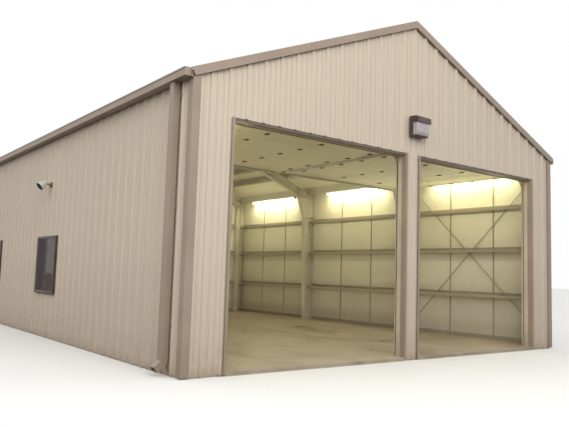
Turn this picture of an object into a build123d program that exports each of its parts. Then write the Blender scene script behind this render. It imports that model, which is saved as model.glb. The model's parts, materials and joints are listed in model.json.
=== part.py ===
from build123d import *
from math import atan, cos, sin
import os

# Two-bay ambulance garage: a steel frame under a gable roof, clad in ribbed sheeting, with both
# overhead doors raised. Millimetres. X runs along the front, Y into the building and Z up.
# The origin is the middle of the slab's underside, and the front faces -Y.

# Building outline, to the rib tops of the wall sheeting
width = 9144
length = 12192
eave_height = 4238
roof_pitch = 5 / 12
bay_count = 3

# Floor slab, above the ground outside
slab_top = 60
base_notch = 38

# Ribbed sheeting and blanket insulation
rib_height = 30
rib_pitch = 304.8
rib_base = 64
rib_crest = 26
sheet = 4
wall_blanket = 50
roof_blanket = 75
eave_overhang = 40

# Cold-formed framing
section_depth = 203
section_flange = 64
section_gauge = 4
base_trim_height = 90
post_flange = 100
post_flange_gauge = 10
post_web = 6
jamb_width = 76
jamb_depth = 132

# Rigid frames
frame_flange = 150
frame_flange_gauge = 10
frame_web = 8
column_base_depth = 300
haunch_depth = 400
haunch_level = 3220
knee_depth = 628
knee_rise = 280
apex_depth = 280
splice_plate = 16
stiffener = 10
base_plate = 16
base_plate_margin = 40
eave_seat = 10
gusset_height = 330
girt_clip_reach = 90
girt_clip_width = 170
girt_clip_gauge = 8

# Door openings and trims
door_width = 3657.6
door_shift = -29
centre_pier = 368.3
head_height = 3620
trim_gauge = 4
trim_face = 40
trim_reveal = 108

# Corner, rake and ridge trims
corner_leg = 122
rake_face = 118
rake_stand_off = 34
rake_cover = 120
ridge_cover = 220

# Gutters and downspouts
gutter_depth = 140
gutter_height = 120
gutter_drop = 140
gutter_gauge = 3
gutter_lip = 12
gutter_back_gap = 10
gutter_cap_gap = 4
spout_width = 127
spout_depth = 100
spout_inset = 430
spout_foot = 90
spout_kick = 120
strap_height = 32
strap_first = 700
strap_top_gap = 198

# Wall girts and roof purlins
girt_low = 1092
girt_high = 3152
gable_girt_rise = 62
back_post_offset = 1524
purlin_first = 440
purlin_spacing = 650
purlin_count = 6
sag_bar_offset = 625
sag_bar_width = 30
sag_bar_gauge = 6
sag_bar_gap = 10

# Windows on the left wall
window_width = 1180
window_height = 1180
window_sill = 892
window_head_gap = 90
window_first = -166
window_spacing = 4230
window_frame_face = 46
window_frame_depth = 70
window_proud = 22
window_mullion = 50
glass_gauge = 6

# Raised overhead doors
door_overlap = 25
door_section = 609.6
door_section_count = 6
door_section_gap = 2
door_thickness = 50
door_head_gap = 132
door_front_clearance = 84
track_width = 51
track_depth = 28
track_gauge = 3
track_gap = 12
track_radius = 340
track_stand_off = 35
hinge_inset = 34
hinge_inner = 600
hinge_length = 90
hinge_width = 60
hinge_gauge = 4
knuckle_radius = 9
knuckle_sides = 8
hanger_leg = 38
hanger_gauge = 4
rear_hanger_gap = 6
stem_radius = 6
stem_sides = 6
wheel_width = 12
wheel_sides = 16
wheel_clearance = 0.3
roller_inset = 60
strut_inset = 50
strut_width = 60
strut_height = 46
strut_gauge = 3

# Torsion spring shafts over the doors
shaft_rise = 380
shaft_stand_off = 110
shaft_radius = 13
round_sides = 12
spring_radius = 29
spring_length = 820
spring_gap = 60
drum_radius = 55
drum_width = 60
bearing_gauge = 6
bearing_height = 130
spring_pad_width = 150
spring_pad_gauge = 30

# Wall bracing rods
rod_diameter = 19
rod_plane = 38
rod_post_low = 240
rod_column_low = 110
rod_top_gap = 28
rod_slot = 36

# Strip lights, wall lamp and flood lamp
strip_length = 2440
strip_width = 110
strip_height = 35
tube_diameter = 38
tube_gap = 3
lamp_width = 400
lamp_height = 370
lamp_depth = 210
lamp_centre = 40
lamp_rise = 348
lamp_cheek = 28
lamp_sill = 34
lamp_hood = 120
lamp_brow = 70
lamp_chin = 40
lamp_back = 60
lens_setback = 8
socket_gauge = 14
flood_centre = -rib_pitch / 2
flood_base_radius = 58
flood_base_depth = 45
flood_arm_radius = 14
flood_reach = 165
flood_rise = 60
flood_aim = (-0.5, 0.25, -0.85)
flood_neck = 50
flood_neck_radius = 42
flood_shoulder_radius = 69
flood_mouth_radius = 96
flood_head_length = 150
flood_sides = 24

# Worked-out levels
half_width = width / 2
half_length = length / 2
bay = length / bay_count
roof_angle = atan(roof_pitch)
ridge_height = eave_height + half_width * roof_pitch
sheet_bottom = slab_top - base_notch
pan_outer = rib_height
pan_inner = rib_height + sheet
wall_inner = pan_inner + wall_blanket
roof_inner = pan_inner + roof_blanket
purlin_bottom = roof_inner + section_depth
end_rafter_bottom = purlin_bottom + section_depth
girt_outer_x = half_width - wall_inner
girt_inner_x = girt_outer_x - section_depth
girt_end_y = half_length - wall_inner
girt_head = window_sill + window_height + window_head_gap
girt_levels = (girt_low, girt_head, girt_high)
gable_girt_level = eave_height + gable_girt_rise
sheet_head = head_height + trim_face
door_centres = [door_shift + side * (centre_pier + door_width) / 2 for side in (-1, 1)]
jamb_edges = [(centre + side * door_width / 2, side) for centre in door_centres for side in (-1, 1)]
door_edges = [edge for edge, _ in jamb_edges]
frame_lines = (-bay / 2, bay / 2)
rib_clearance = 4
rib_edge = rib_base / 2 + rib_clearance
corner_rib_edge = corner_leg + rib_edge
far = 2 * length


def roof_level(x, below):
    """Height at x of the plane that lies below the roof's rib tops, measured square to the roof."""
    return ridge_height - abs(x) * roof_pitch - below / cos(roof_angle)


def save(piece, name):
    """Labels a finished piece and writes its STEP file."""
    piece.part.label = name
    export_step(piece.part, f"parts/{name}.step")


def plate_xz(points, thickness):
    """Adds a plate with an outline in X and Z, centred on Y = 0."""
    with BuildSketch(Plane.XZ) as outline:
        with BuildLine():
            Polyline(*points, close=True)
        make_face()
    extrude(outline.sketch, amount=thickness / 2, both=True)


def cut_above_roof(below):
    """Cuts the piece in hand off along the plane that lies below the rib tops."""
    with BuildSketch(Plane.XZ) as wedge:
        with BuildLine():
            Polyline(
                (-far, roof_level(far, below)), (0, roof_level(0, below)), (far, roof_level(far, below)),
                (far, far), (-far, far), close=True,
            )
        make_face()
    extrude(wedge.sketch, amount=far, both=True, mode=Mode.SUBTRACT)


def rib_places(start, end, start_edge, end_edge):
    """Rib centres on the grid through the building's middle, kept off each end by its edge."""
    count = int(max(abs(start), abs(end)) / rib_pitch) + 1
    grid = [i * rib_pitch for i in range(-count, count + 1)]
    return [place for place in grid if start + start_edge < place < end - end_edge]


def ribbed_outline(start, end, start_edge, end_edge):
    """Section of ribbed sheeting from start to end along X, with its rib tops on Y = 0."""
    with BuildSketch(mode=Mode.PRIVATE) as section:
        with Locations(((start + end) / 2, -(pan_outer + pan_inner) / 2)):
            Rectangle(end - start, sheet)
        for place in rib_places(start, end, start_edge, end_edge):
            with BuildLine():
                Polyline(
                    (place - rib_base / 2, -pan_outer), (place - rib_crest / 2, 0),
                    (place + rib_crest / 2, 0), (place + rib_base / 2, -pan_outer), close=True,
                )
            make_face()
    return section.sketch


os.makedirs("parts", exist_ok=True)

# Floor slab with a sill flush with the front in each doorway
slab_half_width = half_width - pan_inner
slab_half_length = half_length - pan_inner
clear_width = door_width - 2 * trim_gauge
with BuildPart() as floor_slab:
    with BuildSketch():
        Rectangle(2 * slab_half_width, 2 * slab_half_length)
        with Locations(*[(centre, -slab_half_length) for centre in door_centres]):
            Rectangle(clear_width, 2 * pan_inner)
    extrude(amount=slab_top)
save(floor_slab, "floor_slab")

# Wall sheeting: the sections are drawn with the rib tops outward and raised to the roof pans
front_plane = Plane(origin=(0, -half_length, 0), x_dir=(-1, 0, 0), z_dir=(0, 0, 1))
back_plane = Plane(origin=(0, half_length, 0), x_dir=(1, 0, 0), z_dir=(0, 0, 1))
left_plane = Plane(origin=(-half_width, 0, 0), x_dir=(0, 1, 0), z_dir=(0, 0, 1))
right_plane = Plane(origin=(half_width, 0, 0), x_dir=(0, -1, 0), z_dir=(0, 0, 1))
front_span = half_width - pan_outer
side_span = half_length - pan_inner

# The front plane's X runs to the left, so the piers are given from the right
with BuildPart() as front_wall_piers:
    for start, end, start_edge, end_edge in (
        (-front_span, -door_edges[3], corner_rib_edge, rib_edge),
        (-door_edges[2], -door_edges[1], rib_edge, rib_edge),
        (-door_edges[0], front_span, rib_edge, corner_rib_edge),
    ):
        section = front_plane.offset(sheet_bottom) * ribbed_outline(start, end, start_edge, end_edge)
        extrude(section, amount=sheet_head - sheet_bottom)
save(front_wall_piers, "front_wall_piers")

with BuildPart() as front_gable:
    outline = ribbed_outline(-front_span, front_span, corner_rib_edge, corner_rib_edge)
    extrude(front_plane.offset(sheet_head) * outline, amount=ridge_height - sheet_head)
    cut_above_roof(pan_inner)
save(front_gable, "front_gable")

with BuildPart() as back_wall:
    outline = ribbed_outline(-front_span, front_span, corner_rib_edge, corner_rib_edge)
    extrude(back_plane.offset(sheet_bottom) * outline, amount=ridge_height - sheet_bottom)
    cut_above_roof(pan_inner)
save(back_wall, "back_wall")

window_places = [(window_first + i * window_spacing, window_sill + window_height / 2) for i in range(2)]


def cut_windows(margin):
    """Cuts the window openings through the piece in hand, each wider by a margin all round."""
    with BuildSketch(Plane.YZ) as holes:
        with Locations(*window_places):
            Rectangle(window_width + 2 * margin, window_height + 2 * margin)
    extrude(holes.sketch, amount=-2 * half_width, mode=Mode.SUBTRACT)


with BuildPart() as left_wall:
    outline = ribbed_outline(-side_span, side_span, corner_rib_edge, corner_rib_edge)
    extrude(left_plane.offset(sheet_bottom) * outline, amount=eave_height - sheet_bottom)
    cut_above_roof(pan_inner)
    cut_windows(0)
save(left_wall, "left_wall")

with BuildPart() as right_wall:
    outline = ribbed_outline(-side_span, side_span, corner_rib_edge, corner_rib_edge)
    extrude(right_plane.offset(sheet_bottom) * outline, amount=eave_height - sheet_bottom)
    cut_above_roof(pan_inner)
save(right_wall, "right_wall")

# Blanket insulation with a white facing, between the sheeting and the framing
blanket_y = half_length - pan_inner - wall_blanket / 2
blanket_x = half_width - pan_inner - wall_blanket / 2
with BuildPart() as front_pier_insulation:
    with BuildSketch(Plane.XY.offset(slab_top)):
        for start, end in zip((-slab_half_width, *door_edges[1::2]), (*door_edges[::2], slab_half_width)):
            with Locations(((start + end) / 2, -blanket_y)):
                Rectangle(end - start, wall_blanket)
    extrude(amount=head_height - slab_top)
save(front_pier_insulation, "front_pier_insulation")

with BuildPart() as front_gable_insulation:
    with BuildSketch(Plane.XY.offset(head_height)):
        with Locations((0, -blanket_y)):
            Rectangle(2 * slab_half_width, wall_blanket)
    extrude(amount=ridge_height - head_height)
    cut_above_roof(roof_inner)
save(front_gable_insulation, "front_gable_insulation")

with BuildPart() as back_insulation:
    with BuildSketch(Plane.XY.offset(slab_top)):
        with Locations((0, blanket_y)):
            Rectangle(2 * slab_half_width, wall_blanket)
    extrude(amount=ridge_height - slab_top)
    cut_above_roof(roof_inner)
save(back_insulation, "back_insulation")

with BuildPart() as side_insulation:
    with BuildSketch(Plane.XY.offset(slab_top)):
        with Locations((-blanket_x, 0), (blanket_x, 0)):
            Rectangle(wall_blanket, 2 * girt_end_y)
    extrude(amount=eave_height - slab_top)
    cut_above_roof(roof_inner)
    cut_windows(0)
save(side_insulation, "side_insulation")

# Roof sheeting: the ribs run down the slope and reach over the gutters
slope_x = (cos(roof_angle), 0, -sin(roof_angle))
slope_plane = Plane(origin=(0, 0, ridge_height), x_dir=slope_x, z_dir=(0, -1, 0))
rib_plane = Plane(origin=(0, 0, ridge_height), x_dir=(0, 1, 0), z_dir=slope_x)
roof_edge_x = half_width + eave_overhang
with BuildPart() as right_roof_sheeting:
    section = rib_plane * ribbed_outline(-half_length, half_length, rib_edge, rib_edge)
    extrude(section, amount=roof_edge_x / cos(roof_angle))
    split(bisect_by=Plane.YZ)
save(right_roof_sheeting, "right_roof_sheeting")

with BuildPart() as left_roof_sheeting:
    mirror(right_roof_sheeting.part, about=Plane.YZ)
save(left_roof_sheeting, "left_roof_sheeting")

with BuildPart() as right_roof_insulation:
    with BuildSketch(Plane.XZ):
        with BuildLine():
            Polyline(
                (0, roof_level(0, pan_inner)), (slab_half_width, roof_level(slab_half_width, pan_inner)),
                (slab_half_width, roof_level(slab_half_width, roof_inner)), (0, roof_level(0, roof_inner)),
                close=True,
            )
        make_face()
    extrude(amount=slab_half_length, both=True)
save(right_roof_insulation, "right_roof_insulation")

with BuildPart() as left_roof_insulation:
    mirror(right_roof_insulation.part, about=Plane.YZ)
save(left_roof_insulation, "left_roof_insulation")

# Ridge cap, bent over both slopes between the rake trims
with BuildPart() as ridge_cap:
    cap_x = ridge_cover * cos(roof_angle)
    with BuildSketch(Plane.XZ):
        with BuildLine():
            Polyline(
                (-cap_x, roof_level(cap_x, 0)), (0, roof_level(0, 0)), (cap_x, roof_level(cap_x, 0)),
                (cap_x, roof_level(cap_x, -sheet)), (0, roof_level(0, -sheet)),
                (-cap_x, roof_level(cap_x, -sheet)), close=True,
            )
        make_face()
    extrude(amount=half_length - rake_cover, both=True)
save(ridge_cap, "ridge_cap")

# Rake trims: a box profile that caps the roof edge and returns to the end wall
rake_end_x = half_width + eave_overhang
with BuildPart() as right_rake_trims:
    with BuildSketch(rib_plane):
        with BuildLine():
            outer = -half_length - rake_stand_off
            Polyline(
                (outer, sheet), (-half_length + rake_cover, sheet), (-half_length + rake_cover, 0),
                (outer + sheet, 0), (outer + sheet, sheet - rake_face), (-half_length, sheet - rake_face),
                (-half_length, -rake_face), (outer, -rake_face), close=True,
            )
        make_face()
    extrude(amount=rake_end_x / cos(roof_angle))
    split(bisect_by=Plane.YZ)
    split(bisect_by=Plane.YZ.offset(rake_end_x), keep=Keep.BOTTOM)
    mirror(about=Plane.XZ)
save(right_rake_trims, "right_rake_trims")

with BuildPart() as left_rake_trims:
    mirror(right_rake_trims.part, about=Plane.YZ)
save(left_rake_trims, "left_rake_trims")

# Corner trims, bent round each corner with a lip back to the sheeting
gutter_bottom = eave_height - gutter_drop
with BuildPart() as corner_trims:
    with BuildSketch(Plane.XY.offset(sheet_bottom)):
        with BuildLine():
            Polyline(
                (half_width - corner_leg, -half_length - trim_gauge),
                (half_width + trim_gauge, -half_length - trim_gauge),
                (half_width + trim_gauge, -half_length + corner_leg),
                (half_width - rib_height, -half_length + corner_leg),
                (half_width - rib_height, -half_length + corner_leg - trim_gauge),
                (half_width, -half_length + corner_leg - trim_gauge),
                (half_width, -half_length),
                (half_width - corner_leg + trim_gauge, -half_length),
                (half_width - corner_leg + trim_gauge, -half_length + rib_height),
                (half_width - corner_leg, -half_length + rib_height),
                close=True,
            )
        make_face()
    extrude(amount=eave_height)
    cut_above_roof(rake_face)
    with Locations((half_width, -half_length, gutter_bottom)):
        Box(
            2 * trim_gauge, 4 * corner_leg, eave_height, mode=Mode.SUBTRACT,
            align=(Align.MIN, Align.CENTER, Align.MIN),
        )
    mirror(about=Plane.XZ)
    mirror(about=Plane.YZ)
save(corner_trims, "corner_trims")

# Gutters: an open box with a rolled lip, closed at both ends
gutter_front_x = half_width + gutter_depth
gutter_top = gutter_bottom + gutter_height
gutter_back_top = roof_level(half_width, pan_inner) - gutter_back_gap
cap_notch_x = roof_edge_x + gutter_cap_gap
cap_notch_z = roof_level(cap_notch_x, pan_inner) - gutter_cap_gap
spout_places = (-half_length + spout_inset, half_length - spout_inset)
with BuildPart() as gutters:
    with BuildSketch(Plane.XZ):
        with BuildLine():
            Polyline(
                (half_width, gutter_bottom), (gutter_front_x, gutter_bottom),
                (gutter_front_x, gutter_top), (gutter_front_x - gutter_lip, gutter_top),
                (gutter_front_x - gutter_lip, gutter_top - gutter_gauge),
                (gutter_front_x - gutter_gauge, gutter_top - gutter_gauge),
                (gutter_front_x - gutter_gauge, gutter_bottom + gutter_gauge),
                (half_width + gutter_gauge, gutter_bottom + gutter_gauge),
                (half_width + gutter_gauge, gutter_back_top), (half_width, gutter_back_top),
                close=True,
            )
        make_face()
    extrude(amount=half_length, both=True)
    with BuildSketch(Plane.XZ.offset(half_length)):
        with BuildLine():
            Polyline(
                (half_width, gutter_bottom), (gutter_front_x, gutter_bottom), (gutter_front_x, gutter_top),
                (cap_notch_x, gutter_top), (cap_notch_x, cap_notch_z), (half_width, cap_notch_z),
                close=True,
            )
        make_face()
    extrude(amount=-gutter_gauge)
    mirror(about=Plane.XZ)
    with BuildSketch(Plane.XY.offset(gutter_bottom)):
        with Locations(*[(half_width + sheet + spout_depth / 2, place) for place in spout_places]):
            Rectangle(spout_depth - 2 * gutter_gauge, spout_width - 2 * gutter_gauge)
    extrude(amount=gutter_gauge, mode=Mode.SUBTRACT)
    mirror(about=Plane.YZ)
save(gutters, "gutters")

# Downspouts with straps across two ribs and a kicked-out foot
spout_inner_x = half_width + sheet
with BuildPart() as downspouts:
    for place in spout_places:
        centre_x = spout_inner_x + spout_depth / 2
        bend = spout_foot + spout_depth
        with BuildSketch(Plane.XY.offset(gutter_bottom)) as pipe:
            with Locations((centre_x, place)):
                Rectangle(spout_depth, spout_width)
        with BuildLine() as route:
            Polyline(
                (centre_x, place, gutter_bottom), (centre_x, place, bend),
                (centre_x + spout_kick, place, spout_foot),
            )
        sweep(pipe.sketch, path=route.line, transition=Transition.RIGHT)
        with BuildSketch(Plane.XY.offset(gutter_bottom)) as bore:
            with Locations((centre_x, place)):
                Rectangle(spout_depth - 2 * gutter_gauge, spout_width - 2 * gutter_gauge)
        sweep(bore.sketch, path=route.line, transition=Transition.RIGHT, mode=Mode.SUBTRACT)
        strap_y = (place // rib_pitch + 1 / 2) * rib_pitch
        strap_top = gutter_bottom - strap_top_gap
        for level in (strap_first, (strap_first + strap_top) / 2, strap_top):
            with Locations((half_width, strap_y, level)):
                Box(sheet, rib_pitch + rib_crest, strap_height, align=(Align.MIN, Align.CENTER, Align.CENTER))
    mirror(about=Plane.YZ)
save(downspouts, "downspouts")

# Door trims round both openings
front_face = half_length + trim_gauge
with BuildPart() as door_jamb_trims:
    for edge, outward in jamb_edges:
        with BuildSketch(Plane.XY.offset(sheet_bottom)):
            with BuildLine():
                Polyline(
                    (edge - outward * trim_gauge, -front_face), (edge + outward * trim_face, -front_face),
                    (edge + outward * trim_face, -half_length), (edge, -half_length),
                    (edge, -front_face + trim_reveal),
                    (edge - outward * trim_gauge, -front_face + trim_reveal),
                    close=True,
                )
            make_face()
        extrude(amount=sheet_head - sheet_bottom)
    with Locations((0, -slab_half_length, 0)):
        Box(width, trim_reveal, slab_top, mode=Mode.SUBTRACT, align=(Align.CENTER, Align.MIN, Align.MIN))
    with Locations((0, -half_length + pan_inner, head_height)):
        Box(width, trim_reveal, eave_height, mode=Mode.SUBTRACT, align=(Align.CENTER, Align.MIN, Align.MIN))
save(door_jamb_trims, "door_jamb_trims")

# The head trims lie in the plane of the sheeting's pans, under its lower edge
with BuildPart() as door_head_trims:
    for centre in door_centres:
        with BuildSketch(Plane.YZ.offset(centre)):
            with BuildLine():
                Polyline(
                    (-half_length + pan_outer, head_height - trim_gauge),
                    (-front_face + trim_reveal, head_height - trim_gauge),
                    (-front_face + trim_reveal, head_height), (-half_length + pan_inner, head_height),
                    (-half_length + pan_inner, sheet_head), (-half_length + pan_outer, sheet_head),
                    close=True,
                )
            make_face()
        extrude(amount=clear_width / 2, both=True)
save(door_head_trims, "door_head_trims")

# Cold-formed jamb posts and door headers
jamb_y = girt_end_y - jamb_depth / 2


def channel(width_x, depth_y, opening):
    """Channel section centred on the origin, with its web on the side away from the opening."""
    with BuildSketch(mode=Mode.PRIVATE) as section:
        Rectangle(width_x, depth_y)
        with Locations((opening * section_gauge, 0)):
            Rectangle(width_x, depth_y - 2 * section_gauge, mode=Mode.SUBTRACT)
    return section.sketch


with BuildPart() as door_jamb_posts:
    for edge, outward in jamb_edges:
        place = Location((edge + outward * jamb_width / 2, -jamb_y, slab_top))
        extrude(place * channel(jamb_width, jamb_depth, outward), amount=ridge_height - slab_top)
    cut_above_roof(end_rafter_bottom)
save(door_jamb_posts, "door_jamb_posts")

with BuildPart() as door_headers:
    for centre in door_centres:
        with BuildSketch(Plane.YZ.offset(centre)):
            with Locations((-jamb_y, head_height + jamb_width / 2)):
                Rectangle(jamb_depth, jamb_width)
            with Locations((-jamb_y, head_height + jamb_width / 2 + section_gauge)):
                Rectangle(jamb_depth - 2 * section_gauge, jamb_width, mode=Mode.SUBTRACT)
        extrude(amount=door_width / 2, both=True)
save(door_headers, "door_headers")


def wide_flange(depth_x, flange_y):
    """I-section with its web along X and its flanges along Y, centred on the origin."""
    with BuildSketch(mode=Mode.PRIVATE) as section:
        Rectangle(depth_x, post_web)
        with Locations((-(depth_x - post_flange_gauge) / 2, 0), ((depth_x - post_flange_gauge) / 2, 0)):
            Rectangle(post_flange_gauge, flange_y)
    return section.sketch


# Eave struts: a channel with its web inside, a sloping top flange and a level bottom flange
strut_bottom = roof_level(girt_inner_x, purlin_bottom)
with BuildPart() as eave_struts:
    gauge_drop = section_gauge / cos(roof_angle)
    web_x = girt_inner_x + section_gauge
    with BuildSketch(Plane.XZ):
        with BuildLine():
            Polyline(
                (girt_inner_x, roof_level(girt_inner_x, roof_inner)),
                (girt_outer_x, roof_level(girt_outer_x, roof_inner)),
                (girt_outer_x, roof_level(girt_outer_x, roof_inner) - gauge_drop),
                (web_x, roof_level(web_x, roof_inner) - gauge_drop),
                (web_x, strut_bottom + section_gauge), (girt_outer_x, strut_bottom + section_gauge),
                (girt_outer_x, strut_bottom), (girt_inner_x, strut_bottom),
                close=True,
            )
        make_face()
    extrude(amount=girt_end_y, both=True)
    mirror(about=Plane.YZ)
save(eave_struts, "eave_struts")

# Corner posts with a seat and gusset for the eave strut, and in front a gusset for the low brace
corner_post_x = girt_inner_x - section_depth / 2
corner_post_y = girt_end_y - post_flange / 2
gusset_reach = section_depth - 2 * section_gauge
with BuildPart() as corner_posts:
    place = Location((corner_post_x, -corner_post_y, slab_top))
    extrude(place * wide_flange(section_depth, post_flange), amount=eave_height)
    cut_above_roof(end_rafter_bottom)
    with Locations((girt_inner_x, -corner_post_y, strut_bottom)):
        Box(section_depth, post_flange, eave_seat, align=(Align.MIN, Align.CENTER, Align.MAX))
        Box(gusset_reach, stiffener, gusset_height, align=(Align.MIN, Align.CENTER, Align.MAX))
        Box(post_flange_gauge, post_flange, gusset_height, align=(Align.MIN, Align.CENTER, Align.MAX))
    mirror(about=Plane.XZ)
    with Locations((girt_inner_x, -corner_post_y, slab_top)):
        Box(gusset_reach, stiffener, gusset_height, align=(Align.MIN, Align.CENTER, Align.MIN))
    mirror(about=Plane.YZ)
save(corner_posts, "corner_posts")

post_y = girt_end_y - section_depth / 2
with BuildPart() as back_posts:
    for side in (-1, 1):
        place = Location((side * back_post_offset, post_y, slab_top), (0, 0, 90))
        extrude(place * wide_flange(section_depth, post_flange), amount=ridge_height)
    cut_above_roof(end_rafter_bottom)
save(back_posts, "back_posts")

# End rafters, over the posts of the front and back walls
with BuildPart() as right_end_rafters:
    middle = -(purlin_bottom + end_rafter_bottom) / 2
    with BuildSketch(rib_plane):
        with Locations((-corner_post_y, middle), (corner_post_y, middle)):
            Rectangle(post_web, section_depth)
        with Locations(
            (-corner_post_y, -purlin_bottom - post_flange_gauge / 2),
            (corner_post_y, -purlin_bottom - post_flange_gauge / 2),
            (-corner_post_y, -end_rafter_bottom + post_flange_gauge / 2),
            (corner_post_y, -end_rafter_bottom + post_flange_gauge / 2),
        ):
            Rectangle(post_flange, post_flange_gauge)
    extrude(amount=half_width / cos(roof_angle), both=True)
    split(bisect_by=Plane.YZ)
    split(bisect_by=Plane.YZ.offset(girt_inner_x), keep=Keep.BOTTOM)
save(right_end_rafters, "right_end_rafters")

with BuildPart() as left_end_rafters:
    mirror(right_end_rafters.part, about=Plane.YZ)
save(left_end_rafters, "left_end_rafters")

# Rigid frame column: tapered and haunched web, flanges, stiffeners, base plate and girt clips
knee_x = girt_outer_x - knee_depth
knee_top = roof_level(knee_x, purlin_bottom)
knee_bottom = knee_top - knee_rise
haunch_x = girt_outer_x - haunch_depth
haunch_z = slab_top + haunch_level
column_foot = slab_top + base_plate
foot_x = girt_outer_x - column_base_depth
flange_x = girt_outer_x - frame_flange_gauge
flange_drop = frame_flange_gauge / cos(roof_angle)
with BuildPart() as frame_column:
    plate_xz(
        [
            (girt_outer_x, column_foot), (girt_outer_x, strut_bottom), (girt_inner_x, strut_bottom),
            (knee_x, knee_top), (knee_x, knee_bottom), (haunch_x, haunch_z), (foot_x, column_foot),
        ],
        frame_web,
    )
    plate_xz(
        [
            (girt_outer_x, column_foot), (girt_outer_x, strut_bottom), (flange_x, strut_bottom),
            (flange_x, column_foot),
        ],
        frame_flange,
    )
    plate_xz(
        [
            (foot_x, column_foot), (foot_x + frame_flange_gauge, column_foot),
            (haunch_x + frame_flange_gauge, haunch_z), (knee_x + frame_flange_gauge, knee_bottom),
            (knee_x, knee_bottom), (haunch_x, haunch_z),
        ],
        frame_flange,
    )
    plate_xz(
        [
            (knee_x, knee_bottom), (knee_x + splice_plate, knee_bottom),
            (knee_x + splice_plate, knee_top - splice_plate * roof_pitch), (knee_x, knee_top),
        ],
        frame_flange,
    )
    plate_xz(
        [
            (girt_outer_x, strut_bottom), (girt_inner_x, strut_bottom), (knee_x, knee_top),
            (knee_x, knee_top - flange_drop), (girt_inner_x, strut_bottom - flange_drop),
            (girt_outer_x, strut_bottom - flange_drop),
        ],
        frame_flange,
    )
    for inner, outer, level in ((haunch_x, girt_outer_x, haunch_z), (knee_x, girt_inner_x, knee_bottom)):
        plate_xz(
            [
                (inner, level), (outer, level), (outer, level - stiffener),
                (inner + frame_flange_gauge, level - stiffener),
            ],
            frame_flange,
        )
    for level in girt_levels:
        with Locations(((girt_inner_x + girt_outer_x) / 2, 0, level)):
            Box(
                girt_clip_width, frame_flange + 2 * girt_clip_reach, girt_clip_gauge,
                align=(Align.CENTER, Align.CENTER, Align.MAX),
            )
    with Locations((foot_x - base_plate_margin, 0, slab_top)):
        Box(
            column_base_depth + base_plate_margin, frame_flange + base_plate_margin, base_plate,
            align=(Align.MIN, Align.CENTER, Align.MIN),
        )

with BuildPart() as frame_columns:
    with Locations(*[(0, line, 0) for line in frame_lines]):
        add(frame_column.part)
    mirror(about=Plane.YZ)
save(frame_columns, "frame_columns")

# Rigid frame rafter: tapered from the knee to the apex splice
apex_top = roof_level(0, purlin_bottom)
apex_bottom = apex_top - apex_depth
with BuildPart() as frame_rafter:
    plate_xz([(0, apex_bottom), (0, apex_top), (knee_x, knee_top), (knee_x, knee_bottom)], frame_web)
    plate_xz(
        [(0, apex_top), (knee_x, knee_top), (knee_x, knee_top - flange_drop), (0, apex_top - flange_drop)],
        frame_flange,
    )
    plate_xz(
        [
            (0, apex_bottom), (0, apex_bottom + flange_drop),
            (knee_x, knee_bottom + flange_drop), (knee_x, knee_bottom),
        ],
        frame_flange,
    )
    plate_xz(
        [
            (0, apex_bottom), (0, apex_top), (splice_plate, apex_top - splice_plate * roof_pitch),
            (splice_plate, apex_bottom),
        ],
        frame_flange,
    )
    plate_xz(
        [
            (knee_x, knee_bottom), (knee_x, knee_top),
            (knee_x - splice_plate, knee_top), (knee_x - splice_plate, knee_bottom),
        ],
        frame_flange,
    )

with BuildPart() as right_frame_rafters:
    with Locations(*[(0, line, 0) for line in frame_lines]):
        add(frame_rafter.part)
save(right_frame_rafters, "right_frame_rafters")

with BuildPart() as left_frame_rafters:
    mirror(right_frame_rafters.part, about=Plane.YZ)
save(left_frame_rafters, "left_frame_rafters")


def zee_points(inner, outer, level):
    """Z-section with a level web: its outer flange stands up and its inner flange hangs down."""
    toward = 1 if outer > inner else -1
    return [
        (inner, level + section_gauge), (outer - toward * section_gauge, level + section_gauge),
        (outer - toward * section_gauge, level + section_flange), (outer, level + section_flange),
        (outer, level), (inner + toward * section_gauge, level),
        (inner + toward * section_gauge, level + section_gauge - section_flange),
        (inner, level + section_gauge - section_flange),
    ]


# Crossed bracing rods in the front bay of each side wall, from the post's gussets to the column's web
rod_start_y = -corner_post_y + stiffener / 2
rod_end_y = frame_lines[0] - frame_web / 2
rod_x = girt_outer_x - rod_plane
rod_inner_x = rod_x - rod_diameter
rod_high = strut_bottom - rod_top_gap
rod_runs = [
    (Vector(rod_inner_x, rod_start_y, rod_post_low), Vector(rod_inner_x, rod_end_y, rod_high)),
    (Vector(rod_x, rod_end_y, rod_column_low), Vector(rod_x, rod_start_y, rod_high)),
]


def rod_plane_at(low, high):
    """Plane across a rod, a little beyond its low end."""
    run = high - low
    return Plane(origin=low - run.normalized() * 2 * rod_diameter, x_dir=(1, 0, 0), z_dir=run)


with BuildPart() as wall_braces:
    for low, high in rod_runs:
        with BuildSketch(rod_plane_at(low, high)) as rod:
            RegularPolygon(rod_diameter / 2, round_sides)
        extrude(rod.sketch, amount=(high - low).length + 4 * rod_diameter)
    split(bisect_by=Plane.XZ.offset(-rod_start_y), keep=Keep.BOTTOM)
    split(bisect_by=Plane.XZ.offset(-rod_end_y), keep=Keep.TOP)
    mirror(about=Plane.YZ)
save(wall_braces, "wall_braces")

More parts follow.
